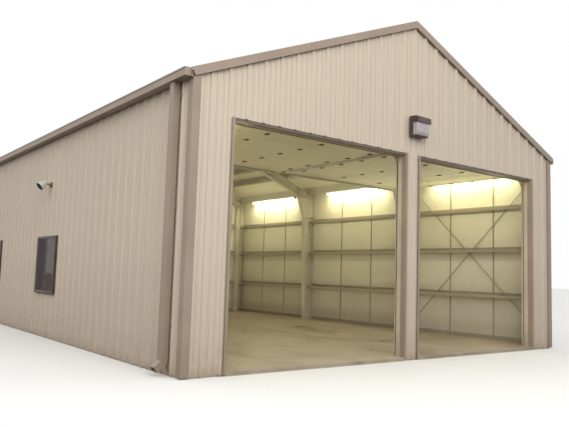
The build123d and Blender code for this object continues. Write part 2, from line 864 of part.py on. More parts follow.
# Girts on the side walls, flush with the columns, with slots where the rods pass
with BuildPart() as side_wall_girts:
    for level in girt_levels:
        with BuildSketch(Plane.XZ):
            with BuildLine():
                Polyline(*zee_points(girt_inner_x, girt_outer_x, level), close=True)
            make_face()
        extrude(amount=girt_end_y, both=True)
    with Locations(*[(0, line, 0) for line in frame_lines]):
        Box(width, frame_flange, 2 * eave_height, mode=Mode.SUBTRACT)
    for low, high in rod_runs:
        with BuildSketch(rod_plane_at(low, high)) as slot:
            Rectangle(rod_slot, rod_slot)
        extrude(slot.sketch, amount=(high - low).length, mode=Mode.SUBTRACT)
    mirror(about=Plane.YZ)
    with BuildSketch(Plane.YZ):
        with Locations(*window_places):
            Rectangle(window_width + 2 * jamb_width, window_height)
    extrude(amount=-2 * half_width, mode=Mode.SUBTRACT)
save(side_wall_girts, "side_wall_girts")

# Sag bars between the girts, two in each bay, clear of the windows
sag_bar_x = girt_outer_x - sag_bar_gap
sag_bar_places = [
    (side, (i - (bay_count - 1) / 2) * bay + shift)
    for side in (-1, 1) for i in range(bay_count) for shift in (-sag_bar_offset, sag_bar_offset)
]
window_clear = window_width / 2 + jamb_width + sag_bar_width
with BuildPart() as sag_bars:
    for side, place in sag_bar_places:
        by_window = side < 0 and any(abs(place - centre) < window_clear for centre, _ in window_places)
        levels = [slab_top - section_gauge, *girt_levels, strut_bottom]
        for low, high in list(zip(levels, levels[1:]))[2 if by_window else 0:]:
            with Locations((side * sag_bar_x, place, low + section_gauge)):
                Box(
                    sag_bar_gauge, sag_bar_width, high - low - section_gauge,
                    align=(Align.CENTER, Align.CENTER, Align.MIN),
                )
save(sag_bars, "sag_bars")

# Framing round each window: channel posts from the slab to the girt, a sill and a head
window_top = window_sill + window_height
framing_inner = girt_inner_x + section_gauge
framing_depth = girt_outer_x - framing_inner
framing_x = -(framing_inner + girt_outer_x) / 2
post_centre = window_width / 2 + jamb_width / 2
with BuildPart() as window_framing:
    for place, _ in window_places:
        for side in (-1, 1):
            foot = Location((framing_x, place + side * post_centre, slab_top), (0, 0, 90))
            extrude(foot * channel(jamb_width, framing_depth, side), amount=girt_head - slab_top)
        with BuildSketch(Plane.XZ.offset(window_width / 2 - place)) as rails:
            with Locations((framing_x, window_sill)):
                Rectangle(framing_depth, section_flange, align=(Align.CENTER, Align.MAX))
            with Locations((framing_x, window_sill - section_gauge)):
                Rectangle(
                    framing_depth - 2 * section_gauge, section_flange, mode=Mode.SUBTRACT,
                    align=(Align.CENTER, Align.MAX),
                )
            with Locations((framing_x, window_top)):
                Rectangle(framing_depth, girt_head - window_top, align=(Align.CENTER, Align.MIN))
            with Locations((framing_x, window_top + section_gauge)):
                Rectangle(
                    framing_depth - 2 * section_gauge, girt_head - window_top, mode=Mode.SUBTRACT,
                    align=(Align.CENTER, Align.MIN),
                )
        extrude(rails.sketch, amount=-window_width)
save(window_framing, "window_framing")

# Base trims, along the foot of the walls between the posts and columns
post_places = [
    (-girt_outer_x, place + side * post_centre, section_depth, jamb_width)
    for place, _ in window_places for side in (-1, 1)
]
post_places += [(side * back_post_offset, girt_end_y, post_flange, post_flange) for side in (-1, 1)]
post_places += [(side * corner_post_x, girt_end_y, section_depth, post_flange) for side in (-1, 1)]
post_places += [(0, line, width, frame_flange + base_plate_margin) for line in frame_lines]
with BuildPart() as base_trims:
    with BuildSketch(Plane.XY.offset(slab_top)):
        for side in (-1, 1):
            with Locations((side * (girt_outer_x - section_gauge / 2), 0)):
                Rectangle(section_gauge, 2 * girt_end_y)
        with Locations((0, girt_end_y - section_gauge / 2)):
            Rectangle(2 * girt_outer_x, section_gauge)
        for x, y, wide, deep in post_places:
            with Locations((x, y)):
                Rectangle(wide, deep, mode=Mode.SUBTRACT)
    extrude(amount=base_trim_height)
save(base_trims, "base_trims")

# Girts on the back wall, set between the posts, and over the doors in front
corner_face_x = girt_inner_x - section_depth
post_face_x = back_post_offset + post_flange / 2
with BuildPart() as end_wall_girts:
    for level in (*girt_levels, gable_girt_level):
        for start, end in (
            (-corner_face_x, -post_face_x), (-post_face_x + post_flange, post_face_x - post_flange),
            (post_face_x, corner_face_x),
        ):
            with BuildSketch(Plane.YZ.offset(start)):
                with BuildLine():
                    Polyline(*zee_points(girt_end_y - section_depth, girt_end_y, level), close=True)
                make_face()
            extrude(amount=end - start)
    for centre in door_centres:
        with BuildSketch(Plane.YZ.offset(centre)):
            with BuildLine():
                Polyline(*zee_points(-girt_end_y + section_depth, -girt_end_y, gable_girt_level), close=True)
            make_face()
        extrude(amount=door_width / 2, both=True)
    cut_above_roof(end_rafter_bottom)
save(end_wall_girts, "end_wall_girts")

# Roof purlins, over the rafters
with BuildPart() as purlins:
    for i in range(purlin_count):
        place = purlin_first + i * purlin_spacing
        with BuildSketch(slope_plane):
            with BuildLine():
                Polyline(
                    (place - section_flange, -roof_inner), (place + section_gauge, -roof_inner),
                    (place + section_gauge, section_gauge - purlin_bottom),
                    (place + section_flange, section_gauge - purlin_bottom),
                    (place + section_flange, -purlin_bottom), (place, -purlin_bottom),
                    (place, -roof_inner - section_gauge),
                    (place - section_flange, -roof_inner - section_gauge),
                    close=True,
                )
            make_face()
        extrude(amount=girt_end_y, both=True)
    mirror(about=Plane.YZ)
save(purlins, "purlins")

# Raised door sections, lying level behind the header with their inner faces down
leaf_width = door_width + 2 * door_overlap
jamb_back_y = -girt_end_y + jamb_depth
door_front_y = jamb_back_y + door_front_clearance
door_underside = head_height + door_head_gap
leaf_middle_y = door_front_y + door_section_count * door_section / 2


def door_leaf(centre_x):
    """Adds the six raised sections of one door."""
    with Locations((centre_x, leaf_middle_y, door_underside)):
        with GridLocations(0, door_section, 1, door_section_count):
            Box(
                leaf_width, door_section - door_section_gap, door_thickness,
                align=(Align.CENTER, Align.CENTER, Align.MIN),
            )


with BuildPart() as left_door_sections:
    door_leaf(door_centres[0])
save(left_door_sections, "left_door_sections")

with BuildPart() as right_door_sections:
    door_leaf(door_centres[1])
save(right_door_sections, "right_door_sections")

# Hinges on the underside, across every joint between sections
hinge_edge = leaf_width / 2 - hinge_inset
hinge_columns = (-hinge_edge, -hinge_inner, hinge_inner, hinge_edge)
with BuildPart() as door_hinges:
    for centre in door_centres:
        for row in range(1, door_section_count):
            for column in hinge_columns:
                place = (centre + column, door_front_y + row * door_section, door_underside)
                with Locations(place):
                    Box(
                        hinge_width, hinge_length, hinge_gauge,
                        align=(Align.CENTER, Align.CENTER, Align.MAX),
                    )
                with BuildSketch(Plane(origin=place, z_dir=(1, 0, 0))) as knuckle:
                    RegularPolygon(knuckle_radius, knuckle_sides)
                extrude(knuckle.sketch, amount=hinge_width / 2, both=True)
    with Locations((0, leaf_middle_y, door_underside)):
        Box(
            width, length, door_thickness, mode=Mode.SUBTRACT,
            align=(Align.CENTER, Align.CENTER, Align.MIN),
        )
save(door_hinges, "door_hinges")

# Struts across the rear sections, open toward the door
strut_y = door_front_y + door_section_count * door_section - strut_inset
with BuildPart() as door_struts:
    for centre in door_centres:
        with BuildSketch(Plane.YZ.offset(centre)):
            with Locations((strut_y, door_underside)):
                Rectangle(strut_width, strut_height, align=(Align.CENTER, Align.MAX))
                Rectangle(
                    strut_width - 2 * strut_gauge, strut_height - strut_gauge, mode=Mode.SUBTRACT,
                    align=(Align.CENTER, Align.MAX),
                )
        extrude(amount=hinge_edge, both=True)
save(door_struts, "door_struts")

# Door tracks: up the jamb, round the bend and back under the roof, with a jamb angle behind
track_line_y = jamb_back_y + track_stand_off
track_line_z = door_underside + door_thickness / 2
track_bend_z = track_line_z - track_radius
frame_face_y = frame_lines[0] - frame_flange / 2
track_end_y = frame_face_y - rear_hanger_gap
track_inner = leaf_width / 2 + track_gap
track_lines = [(centre, side) for centre in door_centres for side in (-1, 1)]
with BuildPart() as door_tracks:
    for centre, side in track_lines:
        back_x = centre + side * (track_inner + track_depth)
        middle_x = centre + side * (track_inner + track_depth / 2)
        with BuildLine(Plane.YZ.offset(middle_x)) as route:
            Line((track_line_y, slab_top), (track_line_y, track_bend_z))
            JernArc((track_line_y, track_bend_z), (0, 1), track_radius, -90)
            Line((track_line_y + track_radius, track_line_z), (track_end_y, track_line_z))
        with BuildSketch(Plane.XY.offset(slab_top)) as track_section:
            with Locations((middle_x, track_line_y)):
                Rectangle(track_depth, track_width)
            with Locations((middle_x - side * track_gauge, track_line_y)):
                Rectangle(track_depth, track_width - 2 * track_gauge, mode=Mode.SUBTRACT)
        sweep(track_section.sketch, path=route.line)
        with Locations((back_x, jamb_back_y, slab_top)):
            Box(
                track_gauge, track_stand_off, track_bend_z - slab_top,
                align=(Align.MIN if side > 0 else Align.MAX, Align.MIN, Align.MIN),
            )
save(door_tracks, "door_tracks")

# Rollers at the section joints and both edges: a stem from the section's end and a wheel in the track
stem_reach = track_gap + track_depth / 2 - wheel_width / 2
wheel_radius = track_width / 2 - track_gauge - wheel_clearance
with BuildPart() as door_rollers:
    for centre, side in track_lines:
        edge_x = centre + side * leaf_width / 2
        for row in range(door_section_count + 1):
            inset = roller_inset * ((row == 0) - (row == door_section_count))
            place_y = door_front_y + row * door_section + inset
            with BuildSketch(Plane(origin=(edge_x, place_y, track_line_z), z_dir=(side, 0, 0))) as stem:
                RegularPolygon(stem_radius, stem_sides)
            extrude(stem.sketch, amount=stem_reach)
            wheel_start = (edge_x + side * stem_reach, place_y, track_line_z)
            with BuildSketch(Plane(origin=wheel_start, z_dir=(side, 0, 0))) as wheel:
                RegularPolygon(wheel_radius, wheel_sides)
            extrude(wheel.sketch, amount=wheel_width)
save(door_rollers, "door_rollers")

# Angle hangers from the first frame to the rear ends of the tracks
with BuildPart() as track_hangers:
    for centre, side in track_lines:
        back_x = centre + side * (track_inner + track_depth)
        hanger_bottom = track_line_z - track_width / 2
        outward = Align.MIN if side > 0 else Align.MAX
        with Locations((back_x, frame_face_y, hanger_bottom)):
            Box(hanger_gauge, hanger_leg, ridge_height, align=(outward, Align.MAX, Align.MIN))
            Box(hanger_leg, hanger_gauge, ridge_height, align=(outward, Align.MAX, Align.MIN))
    cut_above_roof(purlin_bottom)
save(track_hangers, "track_hangers")

# Torsion shafts over the doors: springs, cable drums, bearing plates and a middle plate on its pad
shaft_z = head_height + shaft_rise
shaft_y = jamb_back_y + shaft_stand_off
shaft_reach = door_width / 2 + jamb_width / 2
pad_bottom = head_height + jamb_width
pad_top = gable_girt_level
with BuildPart() as door_springs:
    for centre in door_centres:
        for start, end, radius in (
            (-shaft_reach, shaft_reach, shaft_radius),
            (-shaft_reach + bearing_gauge, -shaft_reach + bearing_gauge + drum_width, drum_radius),
            (shaft_reach - bearing_gauge - drum_width, shaft_reach - bearing_gauge, drum_radius),
            (-spring_gap / 2 - spring_length, -spring_gap / 2, spring_radius),
            (spring_gap / 2, spring_gap / 2 + spring_length, spring_radius),
        ):
            with BuildSketch(Plane(origin=(centre + start, shaft_y, shaft_z), z_dir=(1, 0, 0))) as round_bar:
                RegularPolygon(radius, round_sides)
            extrude(round_bar.sketch, amount=end - start)
        for shift, gauge in ((-shaft_reach, bearing_gauge), (0, spring_gap), (shaft_reach, bearing_gauge)):
            with Locations((centre + shift, jamb_back_y, shaft_z)):
                Box(
                    gauge, shaft_stand_off + 2 * shaft_radius, bearing_height,
                    align=(Align.CENTER, Align.MIN, Align.CENTER),
                )
        with Locations((centre, jamb_back_y, pad_bottom)):
            Box(
                spring_pad_width, spring_pad_gauge, pad_top - pad_bottom,
                align=(Align.CENTER, Align.MAX, Align.MIN),
            )
save(door_springs, "door_springs")

# Windows: one frame with a middle bar and two panes each, in the left wall's openings
pane_width = (window_width - 2 * window_frame_face - window_mullion) / 2
pane_height = window_height - 2 * window_frame_face
pane_shift = (pane_width + window_mullion) / 2
pane_places = [
    (place + shift, middle) for place, middle in window_places for shift in (-pane_shift, pane_shift)
]
window_outer = half_width + window_proud
with BuildPart() as window_frames:
    with BuildSketch(Plane.YZ.offset(-window_outer)):
        with Locations(*window_places):
            Rectangle(window_width, window_height)
        with Locations(*pane_places):
            Rectangle(pane_width, pane_height, mode=Mode.SUBTRACT)
    extrude(amount=window_frame_depth)
save(window_frames, "window_frames")

with BuildPart() as window_glass:
    with BuildSketch(Plane.YZ.offset(-window_outer + window_frame_depth / 2)):
        with Locations(*pane_places):
            Rectangle(pane_width, pane_height)
    extrude(amount=glass_gauge)
save(window_glass, "window_glass")

# Strip lights under the eave struts: a channel with two end sockets and two tubes in each bay
strip_x = (girt_inner_x + girt_outer_x) / 2
socket_drop = tube_diameter + 2 * tube_gap
tube_z = strut_bottom - strip_height - socket_drop / 2
tube_shift = strip_width / 4
strip_places = [(side * strip_x, (i - 1) * bay) for side in (-1, 1) for i in range(bay_count)]
with BuildPart() as strip_light_housings:
    with Locations(*[(x, y, strut_bottom) for x, y in strip_places]):
        Box(strip_width, strip_length, strip_height, align=(Align.CENTER, Align.CENTER, Align.MAX))
        with Locations((0, -strip_length / 2, 0), (0, strip_length / 2 - socket_gauge, 0)):
            Box(
                strip_width, socket_gauge, strip_height + socket_drop,
                align=(Align.CENTER, Align.MIN, Align.MAX),
            )
save(strip_light_housings, "strip_light_housings")

with BuildPart() as light_tubes:
    for x, y in strip_places:
        with BuildSketch(Plane.XZ.offset(-y)) as tube_ends:
            with Locations((x - tube_shift, tube_z), (x + tube_shift, tube_z)):
                RegularPolygon(tube_diameter / 2, round_sides)
        extrude(tube_ends.sketch, amount=strip_length / 2 - socket_gauge, both=True)
save(light_tubes, "light_tubes")

# Wall lamp over the centre pier: a hooded housing with cheeks, and its moulded lens
lamp_bottom = head_height + lamp_rise
lamp_top = lamp_bottom + lamp_height
lamp_front_y = -half_length - lamp_depth
lamp_lens_width = lamp_width - 2 * lamp_cheek
lens_bottom = lamp_bottom + lamp_sill
lens_top = lamp_top - lamp_hood
with BuildPart() as wall_lamp_housing:
    with BuildSketch(Plane.YZ.offset(lamp_centre)):
        with BuildLine():
            Polyline(
                (-half_length, lamp_bottom), (-half_length, lamp_top),
                (lamp_front_y + lamp_brow, lamp_top), (lamp_front_y, lens_top),
                (lamp_front_y + lamp_chin, lamp_bottom), close=True,
            )
        make_face()
    extrude(amount=lamp_width / 2, both=True)
    with Locations((lamp_centre, -half_length - lamp_back, lens_bottom)):
        Box(
            lamp_lens_width, lamp_depth, lens_top - lens_bottom, mode=Mode.SUBTRACT,
            align=(Align.CENTER, Align.MAX, Align.MIN),
        )
save(wall_lamp_housing, "wall_lamp_housing")

with BuildPart() as wall_lamp_lens:
    with BuildSketch(Plane.YZ.offset(lamp_centre)):
        with BuildLine():
            Polyline(
                (-half_length - lamp_back, lens_bottom), (-half_length - lamp_back, lens_top),
                (lamp_front_y + lens_setback, lens_top), (lamp_front_y + lamp_chin, lens_bottom),
                close=True,
            )
        make_face()
    extrude(amount=lamp_lens_width / 2, both=True)
save(wall_lamp_lens, "wall_lamp_lens")

# Flood lamp on the left wall: round base on the pan between two ribs, arm and bell-shaped head
pan_x = -half_width + pan_outer
flood_height = girt_high
head_axis = Vector(*flood_aim).normalized()
head_start = Vector(pan_x - flood_reach, flood_centre, flood_height + flood_rise)
with BuildPart() as flood_lamp:
    with BuildSketch(Plane(origin=(pan_x, flood_centre, flood_height), z_dir=(-1, 0, 0))) as base:
        RegularPolygon(flood_base_radius, flood_sides)
    extrude(base.sketch, amount=flood_base_depth)
    arm_start = Vector(pan_x - flood_base_depth / 2, flood_centre, flood_height)
    arm_run = head_start - arm_start
    with BuildSketch(Plane(origin=arm_start, z_dir=arm_run)) as arm:
        RegularPolygon(flood_arm_radius, round_sides)
    extrude(arm.sketch, amount=arm_run.length)
    head_plane = Plane(origin=head_start, x_dir=(0, 1, 0), z_dir=head_axis)
    with BuildSketch(head_plane.offset(-flood_neck)) as neck:
        RegularPolygon(flood_neck_radius, flood_sides)
    with BuildSketch(head_plane.offset(flood_neck)) as shoulder:
        RegularPolygon(flood_shoulder_radius, flood_sides)
    with BuildSketch(head_plane.offset(flood_head_length)) as mouth:
        RegularPolygon(flood_mouth_radius, flood_sides)
    loft([neck.sketch.face(), shoulder.sketch.face(), mouth.sketch.face()], ruled=True)
save(flood_lamp, "flood_lamp")
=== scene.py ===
import json
import math

import bmesh
import bpy
from mathutils import Euler, Matrix, Vector, noise


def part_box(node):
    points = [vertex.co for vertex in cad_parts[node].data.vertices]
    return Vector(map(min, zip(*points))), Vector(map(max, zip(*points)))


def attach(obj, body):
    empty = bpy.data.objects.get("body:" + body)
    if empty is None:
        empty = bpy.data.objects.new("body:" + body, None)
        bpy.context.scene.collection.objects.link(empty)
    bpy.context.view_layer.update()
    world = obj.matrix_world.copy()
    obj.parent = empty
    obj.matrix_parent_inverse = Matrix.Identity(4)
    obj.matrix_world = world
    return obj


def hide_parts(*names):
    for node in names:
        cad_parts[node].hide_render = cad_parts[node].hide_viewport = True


bl_info = {
    "name": "Two-bay garage",
    "version": (1, 0, 0),
    "blender": (4, 5, 0),
    "location": "3D View > Sidebar > Garage",
    "description": "Dresses the packed model of a steel garage with finishes, fasteners, facing, doors "
                   "and lamps",
    "category": "Object",
}

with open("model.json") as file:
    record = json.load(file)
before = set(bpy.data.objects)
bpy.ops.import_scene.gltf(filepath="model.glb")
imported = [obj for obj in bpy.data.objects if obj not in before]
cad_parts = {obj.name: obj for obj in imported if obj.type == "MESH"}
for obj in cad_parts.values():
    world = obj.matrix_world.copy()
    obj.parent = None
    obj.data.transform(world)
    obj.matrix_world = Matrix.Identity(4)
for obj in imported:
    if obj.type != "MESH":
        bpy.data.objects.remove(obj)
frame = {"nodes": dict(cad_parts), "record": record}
nodes = frame["nodes"]

# Building, in metres, as in the part's source
HALF_WIDTH = 4.572
HALF_LENGTH = 6.096
EAVE = 4.238
PITCH = 5 / 12
SLOPE = math.atan(PITCH)
RIDGE = EAVE + HALF_WIDTH * PITCH
SHEET_BOTTOM = 0.022
SLAB_TOP = 0.060
PAN = 0.030
SHEET_INNER = 0.034
WALL_INNER = 0.084
ROOF_INNER = 0.109
TRIM_THICK = 0.004
RIB_PITCH = 0.3048
RIB_BASE = 0.064
ROOF_EDGE_X = 4.612
RAKE_FACE = 0.118
RAKE_OUT = 0.034
RIDGE_COVER = 0.220
CORNER_LEG = 0.122
BAY = 2 * HALF_LENGTH / 3
BAY_MIDDLES = (-BAY, 0.0, BAY)
FRAME_LINES = (-BAY / 2, BAY / 2)
GIRT_OUTER_X = HALF_WIDTH - WALL_INNER
GIRT_INNER_X = GIRT_OUTER_X - 0.203
GIRT_END_Y = HALF_LENGTH - WALL_INNER
GIRT_LEVELS = (1.092, 2.162, 3.152)
GABLE_GIRT = 4.300
STRUT_BOTTOM = 4.0198
SAG_BAR_OFFSET = 0.625
BACK_POST_X = 1.524
PURLIN_PLACES = [0.440 + i * 0.650 for i in range(6)]
WALL_FACINGS = {"front": (0, -1, 0), "back": (0, 1, 0), "left": (-1, 0, 0), "right": (1, 0, 0)}
END_WALLS = ("front", "back")
SIDES = ((-1, "left"), (1, "right"))

# Doorways and raised doors
DOOR_WIDTH = 3.6576
DOOR_SHIFT = -0.029
PIER = 0.3683
DOOR_CENTRES = [DOOR_SHIFT + side * (PIER + DOOR_WIDTH) / 2 for side in (-1, 1)]
DOOR_EDGES = [(centre + side * DOOR_WIDTH / 2, side) for centre in DOOR_CENTRES for side in (-1, 1)]
HEAD = 3.620
TRIM_FACE = 0.040
JAMB_BACK = -GIRT_END_Y + 0.132
LEAF_WIDTH = DOOR_WIDTH + 0.050
DOOR_SECTION = 0.6096
DOOR_FRONT_Y = JAMB_BACK + 0.084
DOOR_JOINTS = [DOOR_FRONT_Y + row * DOOR_SECTION for row in range(7)]
DOOR_UNDER = HEAD + 0.132
DOOR_THICK = 0.050
TRACK_Z = DOOR_UNDER + DOOR_THICK / 2
HINGE_HALF = 0.034
HINGE_COLUMNS = (HINGE_HALF - LEAF_WIDTH / 2, -0.600, 0.600, LEAF_WIDTH / 2 - HINGE_HALF)

# Windows
WINDOW_CENTRES = (-0.166, 4.064)
WINDOW_SIZE = 1.180
WINDOW_SILL = 0.892
WINDOW_TOP = WINDOW_SILL + WINDOW_SIZE
WINDOW_OUT = HALF_WIDTH + 0.022

# Wall lamp and flood lamp
LAMP_X = 0.040
LAMP_BOTTOM = HEAD + 0.348
LAMP_TOP = LAMP_BOTTOM + 0.370
LAMP_FRONT = -HALF_LENGTH - 0.210
FLOOD_Y = -RIB_PITCH / 2
FLOOD_Z = 3.152

# Colours that stay as they are
# Grey-brown of the painted shade low on the insulation facing
FACING_PAINTED_SHADE = (0.44, 0.40, 0.36)
POWDER_DUST = (0.30, 0.27, 0.24)
PANE_TINT = (0.14, 0.11, 0.10)
PANE_GLINT = (0.72, 0.58, 0.44)
RUBBER_BLACK = (0.03, 0.028, 0.026)
SCREEN_BROWN = (0.050, 0.037, 0.036)
BEAD_GREY = (0.30, 0.27, 0.25)
# Pale zinc for the door tracks: a painted reflection of the tube light glinting along them.
TRACK_PAINTED_REFLECTION = (0.82, 0.80, 0.70)
# Dark steel: painted shade on the galvanised hinges, whose undersides lie in shade and reflect dark; on the
# bolts and nuts it is their own colour.
HINGE_SHADE_AND_BOLT_DARK = (0.085, 0.075, 0.055)
OILED_DARK = (0.05, 0.045, 0.04)


def roof_level(x, below):
    """Height at x of the plane that lies below the roof's rib tops, measured square to the roof."""
    return RIDGE - abs(x) * PITCH - below / math.cos(SLOPE)


def roof_spot(x, y, below):
    """A point on the plane whose height roof_level gives."""
    return Vector((x, y, roof_level(x, below)))


def roof_facing(side):
    """The direction that one half of the roof faces."""
    return (side * math.sin(SLOPE), 0, math.cos(SLOPE))


def rib_places(start, end):
    """Centres of the sheeting's ribs between two places."""
    count = int(max(abs(start), abs(end)) / RIB_PITCH) + 1
    return [i * RIB_PITCH for i in range(-count, count + 1) if start < i * RIB_PITCH < end]


def minor_places(reach):
    """Centres of the two low ribs in each pan, up to a distance from the middle."""
    third = RIB_PITCH / 3
    places = [rib + i * third for rib in rib_places(-reach - RIB_PITCH, reach) for i in (1, 2)]
    return [along for along in places if abs(along) < reach]


def wall_reach(side):
    """How far a wall's sheeting shows from the wall's middle, up to the corner trims."""
    return (HALF_WIDTH if side in END_WALLS else HALF_LENGTH) - CORNER_LEG


def wall_top(side, along):
    """Top of a wall's sheeting, under the rake trim or under the roof's edge."""
    return roof_level(along, RAKE_FACE + TRIM_THICK) if side in END_WALLS else EAVE - 0.060


def wall_spot(side, along, z):
    """A point on the pan of a wall's sheeting, from its place along the wall and its height."""
    x, y, _ = WALL_FACINGS[side]
    if x:
        return Vector((x * (HALF_WIDTH - PAN), along, z))
    return Vector((along, y * (HALF_LENGTH - PAN), z))


def in_doorway(x, z, margin):
    """Whether a place on the front is in a doorway or its trim, or within a margin of it."""
    reach = DOOR_WIDTH / 2 + TRIM_FACE + margin
    return z < HEAD + TRIM_FACE + margin and any(abs(x - centre) < reach for centre in DOOR_CENTRES)


def in_window(y, z, margin=0.0):
    """Whether a place on the left wall is in a window, or within a margin of it."""
    reach = WINDOW_SIZE / 2 + margin
    middle = (WINDOW_SILL + WINDOW_TOP) / 2
    return abs(z - middle) < reach and any(abs(y - centre) < reach for centre in WINDOW_CENTRES)


# Node trees


class NodeTree:
    """A tree of nodes, with short calls to add nodes and to set or join their inputs."""

    def __init__(self, tree):
        self.tree = tree

    def put(self, value, socket):
        """Joins an output to an input, or sets the input to a number, a vector or a colour."""
        if isinstance(value, bpy.types.NodeSocket):
            self.tree.links.new(value, socket)
        elif socket.type == "RGBA":
            socket.default_value = (*value, 1.0)
        else:
            socket.default_value = value

    def add(self, kind, inputs=None, output=0, **settings):
        """Adds a node with its settings and inputs, and gives one of its outputs."""
        node = self.tree.nodes.new(kind)
        for key, value in settings.items():
            setattr(node, key, value)
        for key, values in (inputs or {}).items():
            for value in values if isinstance(values, list) else [values]:
                self.put(value, node.inputs[key])
        return node.outputs[output]

    def times(self, first, second):
        """The product of two values."""
        return self.add("ShaderNodeMath", {0: first, 1: second}, operation="MULTIPLY")


# Finishes


class Finish(NodeTree):
    """A material on a Principled shader."""

    def __init__(self, name, colour, roughness, metallic=0.0, specular=0.5):
        self.material = bpy.data.materials.new(name)
        self.material.use_nodes = True
        self.material.diffuse_color = (*colour, 1.0)
        super().__init__(self.material.node_tree)
        self.plain = colour
        self.set("Base Color", colour)
        self.set("Roughness", roughness)
        self.set("Metallic", metallic)
        self.set("Specular IOR Level", specular)
        self.place = self.add("ShaderNodeTexCoord", output="Object")

    def set(self, label, value):
        """Sets or joins one of the shader's own inputs."""
        self.put(value, self.tree.nodes["Principled BSDF"].inputs[label])

    def noise(self, size, detail=3.0, rough=0.55, stretch=None):
        """Noise whose features are about size metres across."""
        place = self.place
        if stretch:
            place = self.add("ShaderNodeMapping", {"Vector": place, "Scale": stretch})
        return self.add("ShaderNodeTexNoise", {
            "Scale": 1.0 / size, "Detail": detail, "Roughness": rough, "Vector": place,
        })

    def remap(self, value, low, high, to_low=0.0, to_high=1.0):
        """A value brought from one range to another, and kept inside it."""
        return self.add("ShaderNodeMapRange", {
            "From Min": low, "From Max": high, "To Min": to_low, "To Max": to_high, "Value": value,
        })

    def patches(self, size, detail, rough, low, high, stretch=None):
        """Patches about size metres across, one where noise is above the high level, nothing below low."""
        return self.remap(self.noise(size, detail, rough, stretch), low, high)

    def height(self, low, high):
        """One at the low level and nothing at the high level, by height above the ground."""
        level = self.add("ShaderNodeSeparateXYZ", {0: self.place}, output="Z")
        return self.remap(level, low, high, 1.0, 0.0)

    def blend(self, below, above, amount):
        """The colour below, covered by the colour above by an amount."""
        return self.add("ShaderNodeMix", {"Factor": amount, 6: below, 7: above}, output=2, data_type="RGBA")

    def cover(self, below, above, mask, strength):
        """The colour below, covered by the colour above where the mask says, up to a strength."""
        return self.blend(below, above, self.times(mask, strength))

    def tones(self, low, high, amount):
        """The finish's plain colour, from a darker to a lighter shade of it."""
        return self.blend(shade(self.plain, low), shade(self.plain, high), amount)

    def gloss(self, value, low, high):
        """Sets the shader's roughness from a value between nothing and one."""
        self.set("Roughness", self.remap(value, 0.0, 1.0, low, high))

    def bump(self, *layers):
        """Bumps from pairs of a value and its height in metres."""
        inputs = {"Strength": 1.0}
        for value, depth in layers:
            inputs.update({"Distance": depth, "Height": value})
            inputs["Normal"] = self.add("ShaderNodeBump", inputs)
        self.set("Normal", inputs["Normal"])


def shade(colour, factor):
    """A colour made darker or lighter."""
    return tuple(min(1.0, part * factor) for part in colour)


def painted_sheeting(name, colour, dirt):
    """Satin paint on roll-formed sheet: cloudy chalking, thin runs, splashed dirt and painted shade low down.
    """
    made = Finish(name, colour, 0.55, specular=0.22)
    cloud = made.patches(1.6, 4.0, 0.55, 0.3, 0.7)
    runs = made.patches(0.30, 4.0, 0.6, 0.52, 0.80, stretch=(1.0, 1.0, 0.05))
    grain = made.noise(0.012, 2.0)
    splash = made.times(made.height(0.02, 0.60), made.patches(0.16, 5.0, 0.7, 0.36, 0.66))
    toned = made.tones(0.975, 1.02, cloud)
    toned = made.cover(toned, shade(colour, 0.92), runs, 0.12)
    toned = made.cover(toned, shade(colour, 0.96), made.remap(grain, 0.45, 0.7), 0.25)
    toned = made.cover(toned, dirt, splash, 0.30)
    # Painted shade: the dirt colour over the lower 1.9 m, strongest at the ground, darkens the walls towards
    # it; dirt colours this shade as well as the splashes.
    toned = made.cover(toned, dirt, made.height(0.0, 1.9), 0.20)
    toned = made.cover(toned, dirt, made.height(0.02, 0.16), 0.30)
    made.set("Base Color", toned)
    made.gloss(cloud, 0.52, 0.64)
    made.bump((made.noise(0.9, 2.0, 0.5, (1.0, 1.0, 0.35)), 0.002), (grain, 0.0001))
    return made.material


def painted_trim(name, colour, dirt):
    """Darker satin paint on folded trims, a little chalky on top and soiled low down."""
    made = Finish(name, colour, 0.45, specular=0.45)
    cloud = made.patches(0.7, 4.0, 0.55, 0.32, 0.7)
    fine = made.noise(0.02, 3.0)
    toned = made.tones(0.90, 1.08, cloud)
    toned = made.cover(toned, shade(colour, 1.25), made.remap(fine, 0.5, 0.75), 0.25)
    made.set("Base Color", made.cover(toned, dirt, made.height(0.02, 0.6), 0.5))
    made.gloss(cloud, 0.40, 0.52)
    made.bump((made.noise(0.45, 2.0), 0.003), (fine, 0.0003))
    return made.material


def trowelled_concrete(name, colour, stain):
    """Steel-trowelled concrete: cloudy cream, tyre and water stains, fine pores and a faint sheen."""
    made = Finish(name, colour, 0.45, specular=0.45)
    wet = made.patches(1.5, 6.0, 0.7, 0.50, 0.66)
    lanes = made.patches(0.55, 5.0, 0.65, 0.50, 0.72, stretch=(1.0, 0.16, 1.0))
    pores = made.noise(0.006, 2.0)
    toned = made.tones(0.80, 1.14, made.patches(0.9, 6.0, 0.62, 0.30, 0.70))
    toned = made.cover(toned, stain, lanes, 0.55)
    toned = made.cover(toned, shade(stain, 0.85), wet, 0.55)
    made.set("Base Color", made.cover(toned, shade(colour, 0.6), made.remap(pores, 0.55, 0.75), 0.35))
    made.gloss(wet, 0.48, 0.26)
    made.bump((made.noise(0.6, 3.0), 0.0025), (pores, 0.0004))
    return made.material


